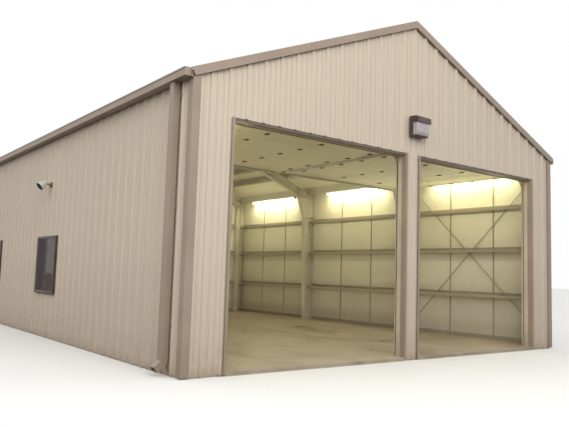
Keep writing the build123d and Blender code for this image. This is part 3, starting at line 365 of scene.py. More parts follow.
def vinyl_facing(name, colour, tinge):
    """White vinyl facing on blanket insulation: soft wrinkles, slight yellowing and painted shade low down."""
    made = Finish(name, colour, 0.55, specular=0.4)
    toned = made.cover(colour, tinge, made.patches(1.1, 4.0, 0.55, 0.35, 0.68), 0.5)
    toned = made.cover(toned, shade(tinge, 0.72), made.patches(0.07, 5.0, 0.7, 0.5, 0.8), 0.22)
    # Painted shade: grey-brown over the facing, full up to 0.3 m and fading out by 3 m, darkens it towards the
    # floor.
    made.set("Base Color", made.cover(toned, FACING_PAINTED_SHADE, made.height(0.3, 3.0), 0.72))
    made.bump((made.noise(0.22, 5.0, 0.6), 0.010), (made.noise(0.004, 2.0), 0.0002))
    return made.material


def primed_steel(name, colour, rust):
    """Shop primer on framing: matt, cloudy, with freckles of rust at handling marks."""
    made = Finish(name, colour, 0.6, specular=0.35)
    cloud = made.patches(0.5, 5.0, 0.6, 0.3, 0.7)
    freckles = made.patches(0.018, 6.0, 0.75, 0.66, 0.76)
    handled = made.patches(0.6, 3.0, 0.55, 0.5, 0.65)
    rusted = made.cover(made.tones(0.88, 1.06, cloud), rust, freckles, made.times(handled, 0.6))
    made.set("Base Color", rusted)
    made.bump((made.noise(0.01, 3.0), 0.0003), (cloud, 0.0006))
    return made.material


def galvanised_steel(name, colour, spangle_size=0.02, metallic=0.35):
    """Dull galvanising: a spangle of grey flakes under a chalky bloom."""
    made = Finish(name, colour, 0.45, metallic=metallic)
    flakes = made.add(
        "ShaderNodeTexVoronoi", {"Scale": 1.0 / spangle_size, "Vector": made.place}, output="Color",
    )
    bloom = made.patches(0.25, 4.0, 0.55, 0.35, 0.7)
    toned = made.tones(0.82, 1.12, made.remap(flakes, 0.0, 1.0))
    made.set("Base Color", made.cover(toned, shade(colour, 0.92), bloom, 0.5))
    made.gloss(bloom, 0.36, 0.58)
    made.bump((made.noise(0.008, 2.0), 0.0002))
    return made.material


def door_skin(name, colour, dirt):
    """Off-white coil paint on the raised doors: stucco-embossed and patchy with road dust."""
    made = Finish(name, colour, 0.4, specular=0.45)
    toned = made.tones(0.93, 1.04, made.patches(0.8, 5.0, 0.6, 0.3, 0.72))
    made.set("Base Color", made.cover(toned, dirt, made.patches(0.12, 6.0, 0.7, 0.48, 0.75), 0.22))
    made.bump((made.noise(0.5, 2.0), 0.003), (made.noise(0.006, 2.0), 0.0005))
    return made.material


def bronze_paint(name, colour):
    """Dark bronze paint with a fine powder texture and a thin bloom of dust."""
    made = Finish(name, colour, 0.38)
    cloud = made.patches(0.12, 5.0, 0.6, 0.35, 0.7)
    fine = made.noise(0.0025, 2.0)
    toned = made.tones(0.85, 1.35, cloud)
    made.set("Base Color", made.cover(toned, POWDER_DUST, made.remap(fine, 0.55, 0.8), 0.12))
    made.gloss(cloud, 0.32, 0.50)
    made.bump((fine, 0.0002))
    return made.material


def window_pane(name, colour):
    """Brown-tinted float glass with a faint film of dust."""
    made = Finish(name, colour, 0.03, specular=0.18)
    made.set("Transmission Weight", 0.30)
    made.set("IOR", 1.18)
    made.set("Specular Tint", PANE_GLINT)
    film = made.patches(0.15, 5.0, 0.65, 0.45, 0.8)
    made.set("Base Color", made.cover(colour, shade(colour, 1.8), film, 0.4))
    made.gloss(film, 0.02, 0.14)
    made.bump((made.noise(0.6, 1.0), 0.002))
    return made.material


def lens_glass(name, colour):
    """Moulded lamp glass: pale lilac-grey, partly as a painted highlight of the reflector inside, lightly
    frosted and dusty.
    """
    made = Finish(name, colour, 0.18, specular=0.6)
    made.set("Transmission Weight", 0.25)
    film = made.patches(0.05, 4.0, 0.55, 0.4, 0.75)
    made.set("Base Color", made.tones(0.9, 1.12, film))
    made.gloss(film, 0.12, 0.32)
    return made.material


def glowing_tube(name, colour, strength):
    """A lit fluorescent tube, slightly uneven along its length."""
    made = Finish(name, colour, 0.3)
    tone = made.tones(0.97, 1.0, made.noise(0.4, 1.0))
    made.set("Base Color", tone)
    made.set("Emission Color", tone)
    made.set("Emission Strength", strength)
    return made.material


def plain_paint(name, colour, roughness=0.4):
    """Enamel with a slight orange peel and grime in its hollows."""
    made = Finish(name, colour, roughness)
    cloud = made.patches(0.08, 5.0, 0.6, 0.4, 0.75)
    made.set("Base Color", made.cover(colour, shade(colour, 0.78), cloud, 0.35))
    made.bump((made.noise(0.003, 2.0), 0.0001))
    return made.material


def black_rubber(name, colour):
    """Weathered rubber, grey with dust."""
    made = Finish(name, colour, 0.8, specular=0.3)
    dust = made.patches(0.03, 5.0, 0.7, 0.4, 0.75)
    made.set("Base Color", made.cover(colour, shade(colour, 2.6), dust, 0.5))
    made.bump((made.noise(0.004, 2.0), 0.0003))
    return made.material


finishes = {}

# Mesh helpers


def finish_piece(name, mesh, finish, smooth=False, node=None):
    """Links a mesh as a piece of the building with its finish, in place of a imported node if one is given."""
    piece = bpy.data.objects.new(name, mesh)
    bpy.context.scene.collection.objects.link(piece)
    mesh.materials.clear()
    mesh.materials.append(finishes[finish])
    if smooth:
        mesh.polygons.foreach_set("use_smooth", [True] * len(mesh.polygons))
    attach(piece, "root")
    if node:
        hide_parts(node)


def from_bmesh(name, shape, finish, smooth=False, weld=False, node=None):
    """Turns a bmesh into a piece with its faces pointing outwards."""
    if weld:
        bmesh.ops.remove_doubles(shape, verts=shape.verts, dist=1e-6)
    bmesh.ops.recalc_face_normals(shape, faces=shape.faces)
    mesh = bpy.data.meshes.new(name)
    shape.to_mesh(mesh)
    shape.free()
    finish_piece(name, mesh, finish, smooth, node)


def add_block(shape, first, second, bevel=0.0):
    """Adds a box between two opposite corners, with its edges eased."""
    low, high = Vector(map(min, first, second)), Vector(map(max, first, second))
    size, middle = high - low, (high + low) / 2
    made = bmesh.ops.create_cube(shape, size=1.0)["verts"]
    for vert in made:
        vert.co = Vector((vert.co[i] * size[i] + middle[i] for i in range(3)))
    if bevel:
        edges = list({edge for vert in made for edge in vert.link_edges})
        bmesh.ops.bevel(shape, geom=edges, offset=bevel, segments=2, affect="EDGES", profile=0.5)


def add_loft(shape, rings):
    """Adds a closed solid through rings of points, where a ring may be a single point."""
    made = [[shape.verts.new(point) for point in ring] for ring in rings]
    for low, high in zip(made, made[1:]):
        count = max(len(low), len(high))
        for i in range(count):
            j = (i + 1) % count
            if len(low) == 1:
                shape.faces.new((low[0], high[i], high[j]))
            elif len(high) == 1:
                shape.faces.new((low[i], low[j], high[0]))
            else:
                shape.faces.new((low[i], low[j], high[j], high[i]))
    for ring in (made[0], made[-1]):
        if len(ring) > 1:
            shape.faces.new(ring)


def add_prism(shape, outline, start, end, axis):
    """Adds an outline, given by its points' two other coordinates, drawn out along an axis."""
    rings = [[list(point) for point in outline] for _ in (start, end)]
    for ring, depth in zip(rings, (start, end)):
        for point in ring:
            point.insert("XYZ".index(axis), depth)
    add_loft(shape, rings)


def add_turned(shape, start, direction, profile, sides=16):
    """Adds a solid of revolution from pairs of a distance along the direction and a radius."""
    start, direction = Vector(start), Vector(direction).normalized()
    turn = direction.to_track_quat("Z", "Y")
    angles = [2 * math.pi * i / sides for i in range(sides)]
    rings = []
    for along, radius in profile:
        centre = start + direction * along
        spokes = [Vector((radius * math.cos(angle), radius * math.sin(angle), 0)) for angle in angles]
        rings.append([centre + turn @ spoke for spoke in spokes] if radius > 0 else [centre])
    add_loft(shape, rings)


def add_rod(shape, start, end, radius, sides):
    """Adds a straight round bar between two points."""
    length = (Vector(end) - Vector(start)).length
    add_turned(shape, start, Vector(end) - Vector(start), [(0, radius), (length, radius)], sides)


# Geometry Nodes


class Grower(NodeTree):
    """A geometry tree that works on points or edges, each with a facing."""

    def __init__(self, name, **sizes):
        super().__init__(bpy.data.node_groups.new(name, "GeometryNodeTree"))
        self.socket("Geometry", "NodeSocketGeometry")
        for label, default in sizes.items():
            self.socket(label.replace("_", " ").title(), "NodeSocketFloat").default_value = default
        self.socket("Material", "NodeSocketMaterial")
        self.socket("Geometry", "NodeSocketGeometry", "OUTPUT")
        self.given = self.tree.nodes.new("NodeGroupInput").outputs
        self.facing = self.add(
            "GeometryNodeInputNamedAttribute", {"Name": "facing"}, data_type="FLOAT_VECTOR",
        )

    def socket(self, label, kind, way="INPUT"):
        """Adds an input or output to the tree's own interface."""
        return self.tree.interface.new_socket(name=label, in_out=way, socket_type=kind)

    def end(self, made):
        """Makes what was made real, gives it its material and ends the tree."""
        real = self.add("GeometryNodeRealizeInstances", {0: made})
        painted = self.add("GeometryNodeSetMaterial", {"Geometry": real, "Material": self.given["Material"]})
        self.tree.links.new(painted, self.tree.nodes.new("NodeGroupOutput").inputs[0])
        return self.tree


def screw_tree():
    """Hex washer-head screws on points, each along its point's facing and turned at random."""
    grow = Grower(
        "Hex screws", head_radius=0.0045, head_height=0.005, washer_radius=0.008, washer_height=0.0015,
    )
    parts = []
    for label, sides in (("Head", 6), ("Washer", 8)):
        radius, height = grow.given[f"{label} Radius"], grow.given[f"{label} Height"]
        bar = grow.add("GeometryNodeMeshCylinder", {"Vertices": sides, "Radius": radius, "Depth": height})
        lift = grow.add("ShaderNodeCombineXYZ", {"Z": grow.times(height, 0.5)})
        parts.append(grow.add("GeometryNodeTransform", {"Geometry": bar, "Translation": lift}))
    spin = grow.add(
        "FunctionNodeRandomValue", {"Min": (0, 0, 0), "Max": (0, 0, 1.05), "Seed": 7},
        data_type="FLOAT_VECTOR",
    )
    turn = grow.add("FunctionNodeAlignRotationToVector", {"Rotation": spin, "Vector": grow.facing}, axis="Z")
    return grow.end(grow.add("GeometryNodeInstanceOnPoints", {
        "Points": grow.given["Geometry"], "Rotation": turn,
        "Instance": grow.add("GeometryNodeJoinGeometry", {0: parts}),
    }))


def ridge_tree():
    """Low folded ridges that follow the edges of a mesh, standing along their facing."""
    grow = Grower("Folded ridges", width=0.020, height=0.003, crest_share=0.45)
    curve = grow.add("GeometryNodeMeshToCurve", {"Mesh": grow.given["Geometry"]})
    curve = grow.add("GeometryNodeSetCurveNormal", {"Curve": curve, "Normal": grow.facing}, mode="FREE")
    rise = grow.given["Height"]
    foot = grow.times(grow.given["Width"], 0.5)
    crest = grow.times(foot, grow.given["Crest Share"])
    corners = {}
    outline = ((0.0, foot, 1), (rise, crest, 1), (rise, crest, -1), (0.0, foot, -1))
    for i, (up, reach, side) in enumerate(outline):
        point = grow.add("ShaderNodeCombineXYZ", {"X": up, "Y": grow.times(reach, side)})
        corners[f"Point {i + 1}"] = point
    profile = grow.add("GeometryNodeCurvePrimitiveQuadrilateral", corners, mode="POINTS")
    return grow.end(grow.add(
        "GeometryNodeCurveToMesh", {"Curve": curve, "Profile Curve": profile, "Fill Caps": True},
    ))


def coil_tree():
    """Wire coils along X, one on each point."""
    grow = Grower("Wire coils", coil_radius=0.025, wire_radius=0.003, turns=60.0, length=0.8)
    coil = grow.add("GeometryNodeCurveSpiral", {
        "Resolution": 10, "Start Radius": grow.given["Coil Radius"], "End Radius": grow.given["Coil Radius"],
        "Rotations": grow.given["Turns"], "Height": grow.given["Length"],
    })
    ring = grow.add(
        "GeometryNodeCurvePrimitiveCircle", {"Resolution": 5, "Radius": grow.given["Wire Radius"]},
    )
    wire = grow.add("GeometryNodeCurveToMesh", {"Curve": coil, "Profile Curve": ring, "Fill Caps": True})
    laid = grow.add("GeometryNodeTransform", {"Geometry": wire, "Rotation": Euler((0, math.pi / 2, 0))})
    return grow.end(grow.add(
        "GeometryNodeInstanceOnPoints", {"Points": grow.given["Geometry"], "Instance": laid},
    ))


trees = {}


def grown_piece(name, tree_name, points, edges, facings, sizes, finish, smooth=False):
    """Runs a geometry tree on points with facings and keeps the result as a plain mesh piece."""
    source = bpy.data.meshes.new(name)
    source.from_pydata([tuple(point) for point in points], edges, [])
    facing = source.attributes.new("facing", "FLOAT_VECTOR", "POINT")
    facing.data.foreach_set("vector", [part for vector in facings for part in vector])
    holder = bpy.data.objects.new(name + "_points", source)
    bpy.context.scene.collection.objects.link(holder)
    tree = trees[tree_name]
    modifier = holder.modifiers.new(tree.name, "NODES")
    modifier.node_group = tree
    sockets = {item.name: item.identifier for item in tree.interface.items_tree if item.in_out == "INPUT"}
    for label, value in {**sizes, "Material": finishes[finish]}.items():
        modifier[sockets[label]] = value
    bpy.context.view_layer.update()
    grown = bpy.data.meshes.new_from_object(holder.evaluated_get(bpy.context.evaluated_depsgraph_get()))
    holder.modifiers.clear()
    bpy.data.objects.remove(holder)
    bpy.data.meshes.remove(source)
    if not grown.polygons:
        raise RuntimeError(f"{name}: the geometry tree made nothing")
    grown.name = name
    finish_piece(name, grown, finish, smooth)


def screws(name, spots, finish, washer, head=0.0045):
    """Screws at pairs of a place and a facing, with heads and washers of the given radii."""
    sizes = {
        "Head Radius": head, "Head Height": head * 1.1,
        "Washer Radius": washer, "Washer Height": washer * 0.2,
    }
    points, facings = zip(*spots)
    grown_piece(name, "screws", points, [], facings, sizes, finish)


def ridges(name, runs, finish, width, height):
    """Ridges along runs of a start, an end and a facing."""
    points = [point for start, end, _ in runs for point in (start, end)]
    facings = [facing for *_, facing in runs for _ in range(2)]
    edges = [(i, i + 1) for i in range(0, len(points), 2)]
    grown_piece(name, "ridges", points, edges, facings, {"Width": width, "Height": height}, finish)


# Properties


def colour_property(label, text, value):
    """A colour that the user may change."""
    return bpy.props.FloatVectorProperty(
        name=label, description=text, default=value, size=3, min=0.0, max=1.0, subtype="COLOR",
    )


def length_property(label, text, value, low, high):
    """A length in metres that the user may change."""
    return bpy.props.FloatProperty(
        name=label, description=text, default=value, min=low, max=high, unit="LENGTH",
    )


def power_property(label, text, value):
    """The power of a lamp, in watts, that the user may change."""
    return bpy.props.FloatProperty(name=label, description=text, default=value, min=0.0, subtype="POWER")


def strength_property(label, text, value, high):
    """The strength of a light that the user may change."""
    return bpy.props.FloatProperty(name=label, description=text, default=value, min=0.0, max=high)


class GarageColours(bpy.types.PropertyGroup):
    """Colours of the building's finishes."""

    wall: colour_property("Walls", "Paint of the wall sheeting", (0.66, 0.57, 0.465))
    trim: colour_property("Trims", "Paint of the trims, gutters and roof", (0.36, 0.28, 0.22))
    # This colour also paints the shade that darkens the wall sheeting towards the ground.
    soil_and_shade: colour_property("Soil", "Dust and splashes low on the walls", (0.30, 0.22, 0.155))
    slab: colour_property("Floor", "Trowelled concrete", (0.44, 0.365, 0.27))
    stain: colour_property("Floor stains", "Water and tyre stains", (0.22, 0.175, 0.125))
    facing: colour_property("Facing", "Vinyl facing of the insulation", (0.76, 0.73, 0.60))
    facing_tinge: colour_property("Facing tinge", "Yellowing of the facing", (0.68, 0.63, 0.44))
    primer: colour_property("Framing", "Primer on the frames and posts", (0.56, 0.53, 0.43))
    girt: colour_property("Girts", "Primer on the girts", (0.34, 0.30, 0.23))
    jamb: colour_property("Jambs", "Paint of the door posts", (0.62, 0.52, 0.42))
    rust: colour_property("Rust", "Rust freckles", (0.22, 0.09, 0.04))
    zinc: colour_property("Galvanising", "Galvanised springs, struts and hangers", (0.56, 0.54, 0.47))
    leaf: colour_property("Doors", "Inner skin of the raised doors", (0.66, 0.62, 0.46))
    bronze: colour_property("Bronze", "Window frames and wall lamp", (0.075, 0.048, 0.046))
    enamel: colour_property("Enamel", "Lamp enamel", (0.75, 0.75, 0.72))
    tube: colour_property("Tube light", "Colour of the lit tubes", (1.0, 0.97, 0.80))
    # The lens colour is pale partly as a painted highlight of the lamp's reflector.
    lens: colour_property("Lens", "Glass of the wall lamp", (0.66, 0.61, 0.63))
    cream: colour_property("Cream", "Paint of the flood lamp", (0.70, 0.70, 0.70))


class GarageSizes(bpy.types.PropertyGroup):
    """Sizes of the details that the part's source leaves to the scene."""

    minor_width: length_property(
        "Minor rib width", "Width of the low ribs between the main ribs", 0.034, 0.005, 0.08,
    )
    minor_height: length_property(
        "Minor rib height", "Height of the low ribs above the pan", 0.0014, 0.0005, 0.02,
    )
    washer: length_property("Screw washer", "Radius of the washers under the screws", 0.008, 0.002, 0.03)
    pillow: length_property(
        "Facing crown", "How far the facing stands proud between the framing", 0.012, 0.0, 0.06,
    )
    facing_step: length_property("Facing mesh step", "Largest cell of the facing's mesh", 0.085, 0.02, 0.5)


class GarageLight(bpy.types.PropertyGroup):
    """Strengths of the studio light."""

    sky: strength_property("Sky", "Strength of the even light from all round", 1.0, 5.0)
    key: power_property("Key", "Power of the large soft light at the front left", 950)
    side: power_property("Side", "Power of the large soft light on the left", 380)
    inside: power_property("Wall wash", "Power of each soft light on the side walls inside", 13.0)
    glow: power_property("Glow", "Power of each soft light that the tubes throw into the room", 10.0)
    bounce: power_property("Ceiling bounce", "Power of the soft light up to the roof", 105.0)
    room: power_property("Room", "Power of the long soft light that a row of tubes throws", 20.0)
    tube_glow: strength_property("Tube glow", "Emission strength of the tubes", 10.0, 50.0)


# Operators


class GARAGE_OT_camera(bpy.types.Operator):
    """Set the camera where the photograph was taken"""

    bl_idname = "garage.camera"
    bl_label = "Camera"

    def execute(self, context):
        sensor, focal_pixels, picture_width = 36.0, 634.202, 569
        lens = bpy.data.cameras.new("Camera")
        lens.sensor_width = sensor
        lens.lens = focal_pixels / picture_width * sensor
        camera = bpy.data.objects.new("Camera", lens)
        camera.location = (-8.7274, -13.6343, 1.4221)
        camera.rotation_euler = [math.radians(angle) for angle in (95.52094, -1.74746, -37.75021)]
        context.scene.collection.objects.link(camera)
        context.scene.camera = camera
        return {"FINISHED"}


class GARAGE_OT_finishes(bpy.types.Operator):
    """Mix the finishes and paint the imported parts"""

    bl_idname = "garage.finishes"
    bl_label = "Finishes"

    def execute(self, context):
        colours, light = context.scene.garage_colours, context.scene.garage_light
        soil_and_shade = colours.soil_and_shade
        finishes.update({
            "concrete": trowelled_concrete("Trowelled concrete", colours.slab, colours.stain),
            "wall_sheet": painted_sheeting("Wall sheeting", colours.wall, soil_and_shade),
            "roof_sheet": painted_trim("Roof sheeting", colours.trim, colours.trim),
            "vinyl_facing": vinyl_facing("Vinyl facing", colours.facing, colours.facing_tinge),
            "trim": painted_trim("Trim paint", colours.trim, soil_and_shade),
            "framing": primed_steel("Primed steel", colours.primer, colours.rust),
            "girt_steel": primed_steel("Primed girt steel", colours.girt, colours.rust),
            "jamb_paint": painted_trim("Jamb paint", colours.jamb, soil_and_shade),
            "galvanised": galvanised_steel("Galvanised steel", colours.zinc),
            "door_skin": door_skin("Door skin", colours.leaf, soil_and_shade),
            "bronze": bronze_paint("Bronze paint", colours.bronze),
            "glazing": window_pane("Window pane", PANE_TINT),
            "lamp_white": plain_paint("White enamel", colours.enamel),
            "light_tube": glowing_tube("Lit tube", colours.tube, light.tube_glow),
            # Pale lens colour: partly a painted highlight of the reflector behind it.
            "lamp_lens": lens_glass("Lens glass", colours.lens),
            "lamp_cream": plain_paint("Cream paint", colours.cream),
            "rubber": black_rubber("Rubber", RUBBER_BLACK),
            "header_paint": painted_trim("Header paint", shade(colours.trim, 1.1), soil_and_shade),
            # Dark trim colour: painted shade on the door head trims, recessed under the sheeting's edge; on
            # the flood lamp's base it is that part's own dark brown.
            "head_trim": painted_trim("Head trim paint", shade(colours.trim, 0.42), soil_and_shade),
            "screen": black_rubber("Insect screen", SCREEN_BROWN),
            "bead": plain_paint("Grey bead", BEAD_GREY, 0.5),
            "wall_screw": plain_paint("Wall screw paint", shade(colours.wall, 0.82), 0.5),
            "trim_screw": plain_paint("Trim screw paint", shade(colours.trim, 0.8), 0.5),
            # Painted reflection: a pale non-metallic zinc stands in for the tube light glinting on the tracks.
            "track_painted_reflection": galvanised_steel("Bright track zinc", TRACK_PAINTED_REFLECTION, 0.03, 0.0),
            # Painted shade on the hinge leaves; the frame bolts and anchor nuts share this dark steel as their
            # colour.
            "hinge_shade_and_bolt_steel": plain_paint("Dull hinge steel", HINGE_SHADE_AND_BOLT_DARK, 0.45),
            "dark_steel": plain_paint("Oiled steel", OILED_DARK, 0.45),
        })
        for row in frame["record"]["subparts"]:
            materials = nodes[row["node"]].data.materials
            materials.clear()
            materials.append(finishes[row["material_slot"]])
        for finish, painted in (
            # The door head trims take the dark trim colour as painted shade.
            ("header_paint", ("door_headers",)), ("head_trim", ("door_head_trims",)),
            # The door tracks take the zinc with the painted reflection.
            ("track_painted_reflection", ("door_tracks",)),
            ("girt_steel", ("side_wall_girts", "end_wall_girts", "base_trims", "wall_braces", "sag_bars")),
        ):
            for node in painted:
                nodes[node].data.materials[0] = finishes[finish]
        trees.update({"screws": screw_tree(), "ridges": ridge_tree(), "coils": coil_tree()})
        return {"FINISHED"}


class GARAGE_OT_minor_ribs(bpy.types.Operator):
    """Roll the two low ribs into each pan of the sheeting"""

    bl_idname = "garage.minor_ribs"
    bl_label = "Minor ribs"

    def execute(self, context):
        sizes = context.scene.garage_sizes
        corner_gap, foot, door_gap, window_gap = 0.030, SHEET_BOTTOM + 0.012, 0.002, 0.008
        for side, facing in WALL_FACINGS.items():
            runs = []
            for along in minor_places(wall_reach(side) - corner_gap):
                top = wall_top(side, along)
                spans = [(foot, top)]
                if side == "front" and in_doorway(along, SLAB_TOP, 0.02):
                    spans = [(HEAD + TRIM_FACE + door_gap, top)]
                if side == "left" and in_window(along, (WINDOW_SILL + WINDOW_TOP) / 2, 0.01):
                    spans = [(foot, WINDOW_SILL - window_gap), (WINDOW_TOP + window_gap, top)]
                for start, end in spans:
                    runs.append((wall_spot(side, along, start), wall_spot(side, along, end), facing))
            ridges(f"{side}_minor_ribs", runs, "wall_sheet", sizes.minor_width, sizes.minor_height)
        high_x, low_x = 0.212, ROOF_EDGE_X - 0.012
        runs = [
            (roof_spot(side * high_x, along, PAN), roof_spot(side * low_x, along, PAN), roof_facing(side))
            for side in (-1, 1) for along in minor_places(HALF_LENGTH - 0.120)
        ]
        ridges("roof_minor_ribs", runs, "roof_sheet", sizes.minor_width, sizes.minor_height)
        return {"FINISHED"}


class GARAGE_OT_sheeting_screws(bpy.types.Operator):
    """Drive the rows of screws through the wall and roof sheeting"""

    bl_idname = "garage.sheeting_screws"
    bl_label = "Sheeting screws"

    def execute(self, context):
        washer = context.scene.garage_sizes.washer
        beside_rib = RIB_BASE / 2 + 0.012
        base_row, header_row, strut_row, girt_middle = 0.105, 3.725, 4.095, 0.032
        rake_row, rake_gap, door_gap, window_gap = 0.075, 0.020, 0.015, 0.020
        for side, facing in WALL_FACINGS.items():
            reach = wall_reach(side) - 0.020
            spots = []
            for rib in rib_places(-reach, reach):
                along = rib + beside_rib
                if abs(along) > reach:
                    continue
                top = wall_top(side, along)
                levels = [base_row, *(level + girt_middle for level in GIRT_LEVELS)]
                if side in END_WALLS:
                    levels += [header_row, GABLE_GIRT + girt_middle, top - rake_row]
                else:
                    levels += [strut_row]
                for z in levels:
                    above = side in END_WALLS and z > top - rake_gap
                    at_door = side == "front" and in_doorway(along, z, door_gap)
                    at_window = side == "left" and in_window(along, z, window_gap)
                    if not (above or at_door or at_window):
                        spots.append((wall_spot(side, along, z), facing))
            screws(f"{side}_wall_screws", spots, "wall_screw", washer)
        spots = []
        verge, eave_row, ridge_row = HALF_LENGTH - 0.13, ROOF_EDGE_X - 0.09, RIDGE_COVER - 0.028
        for side in (-1, 1):
            for rib in rib_places(-verge, verge):
                for place in (*PURLIN_PLACES, eave_row / math.cos(SLOPE)):
                    x = side * place * math.cos(SLOPE)
                    spots.append((roof_spot(x, rib + beside_rib, PAN), roof_facing(side)))
                x = side * ridge_row * math.cos(SLOPE)
                spots.append((roof_spot(x, rib, -TRIM_THICK), roof_facing(side)))
        screws("roof_screws", spots, "trim_screw", washer)
        return {"FINISHED"}


class GARAGE_OT_trim_screws(bpy.types.Operator):
    """Fix the rake, corner and door trims"""

    bl_idname = "garage.trim_screws"
    bl_label = "Trim screws"

    def execute(self, context):
        spots = []
        spacing, head_spacing, corner_start, jamb_start = 0.61, 0.34, 0.15, 0.20
        verge, rake_row, corner_inset = HALF_LENGTH - 0.095, RAKE_FACE - 0.020, CORNER_LEG - 0.026
        jamb_inset, head_row = 0.028, HEAD + 0.020
        for end in (-1, 1):
            for i in range(1, 16):
                for side in (-1, 1):
                    x = side * (i - 0.5) * RIB_PITCH
                    if abs(x) > ROOF_EDGE_X - 0.02:
                        continue
                    if end < 0:
                        face = roof_spot(x, end * (HALF_LENGTH + RAKE_OUT), rake_row)
                        spots.append((face, (0, end, 0)))
                    spots.append((roof_spot(x, end * verge, -TRIM_THICK), roof_facing(side)))
            for side in (-1, 1):
                for z in [corner_start + spacing * i for i in range(7)]:
                    x, y = side * (HALF_WIDTH - corner_inset), end * (HALF_LENGTH + TRIM_THICK)
                    spots.append((Vector((x, y, z)), (0, end, 0)))
                    x, y = side * (HALF_WIDTH + TRIM_THICK), end * (HALF_LENGTH - corner_inset)
                    spots.append((Vector((x, y, z)), (side, 0, 0)))
        for edge, outward in DOOR_EDGES:
            for z in [jamb_start + spacing * i for i in range(6)]:
                x, y = edge + outward * jamb_inset, -HALF_LENGTH - TRIM_THICK
                spots.append((Vector((x, y, z)), (0, -1, 0)))
        for centre in DOOR_CENTRES:
            for x in [centre + head_spacing * i for i in range(-5, 6)]:
                spots.append((Vector((x, PAN - HALF_LENGTH, head_row)), (0, -1, 0)))
        screws("trim_screws", spots, "trim_screw", 0.006, head=0.0035)
        return {"FINISHED"}


def graded(stops, step):
    """Places from the first stop to the last, through every stop, no further apart than the step."""
    places = [stops[0]]
    for low, high in zip(stops, stops[1:]):
        count = max(1, math.ceil((high - low) / step - 1e-6))
        places += [low + (high - low) * (i + 1) / count for i in range(count)]
    return places


def crown_at(value, spans):
    """Rises to one in the middle of each span that is free to swell, and is nothing elsewhere."""
    rise = 0.30
    for low, high in spans:
        if low < value < high:
            share = min(value - low, high - value) / min(rise, (high - low) / 2)
            return math.sin(min(1.0, share) * math.pi / 2) ** 0.8
    return 0.0


def bands(centres, half_width):
    """The band that lies round each centre."""
    return [(centre - half_width, centre + half_width) for centre in centres]


def free_spans(low, high, pressed):
    """What is left between two places once the pressed bands are taken out."""
    spans = []
    for start, end in sorted(pressed):
        if start > low:
            spans.append((low, min(start, high)))
        low = max(low, end)
    if low < high:
        spans.append((low, high))
    return [span for span in spans if span[1] - span[0] > 0.02]


def mesh_lines(ends, spans, step):
    """Where a blanket's mesh has its lines: both ends, the ends of each span, and steps between."""
    return graded(sorted({*ends, *[place for span in spans for place in span]}), step)


def quilt(name, node, along, across, place, faces, crown, step, seed, inside=None):
    """A blanket with a flat outer side and a facing that swells where no framing presses on it.

    along and across each give the blanket's two ends and the spans that are free to swell.
    place(u, v, out) gives a point, with out measured outwards, and faces holds the out of the flat
    facing and that of the outer side. inside(u, v) says whether the blanket has a cell there.
    """
    us, vs = mesh_lines(*along, step), mesh_lines(*across, step)
    flat, outside = faces
    fine, broad, wrinkling = 3.1, 0.9, 0.25
    shape = bmesh.new()
    corners = {}

    def corner(i, j):
        if (i, j) not in corners:
            u, v = us[i], vs[j]
            swell = crown_at(u, along[1]) * crown_at(v, across[1])
            spot = place(u, v, flat)
            wrinkle = noise.fractal(spot * fine + Vector((seed, 0, 0)), 1.0, 2.0, 4)
            sag = crown * (0.70 + 0.30 * noise.noise(spot * broad + Vector((0, seed, 0))))
            facing = shape.verts.new(place(u, v, flat - swell * (sag + wrinkling * crown * wrinkle)))
            corners[i, j] = facing, shape.verts.new(place(u, v, outside))
        return corners[i, j]

    def there(i, j):
        if not (0 <= i < len(us) - 1 and 0 <= j < len(vs) - 1):
            return False
        return inside is None or inside((us[i] + us[i + 1]) / 2, (vs[j] + vs[j + 1]) / 2)

    for i in range(len(us) - 1):
        for j in range(len(vs) - 1):
            if not there(i, j):
                continue
            ring = [corner(i, j), corner(i + 1, j), corner(i + 1, j + 1), corner(i, j + 1)]
            shape.faces.new([facing for facing, _ in ring]).smooth = True
            shape.faces.new([outer for _, outer in reversed(ring)])
            for k, nearby in enumerate(((i, j - 1), (i + 1, j), (i, j + 1), (i - 1, j))):
                if not there(*nearby):
                    first, second = ring[k], ring[(k + 1) % 4]
                    shape.faces.new((first[0], first[1], second[1], second[0]))
    from_bmesh(name, shape, "vinyl_facing", node=node)


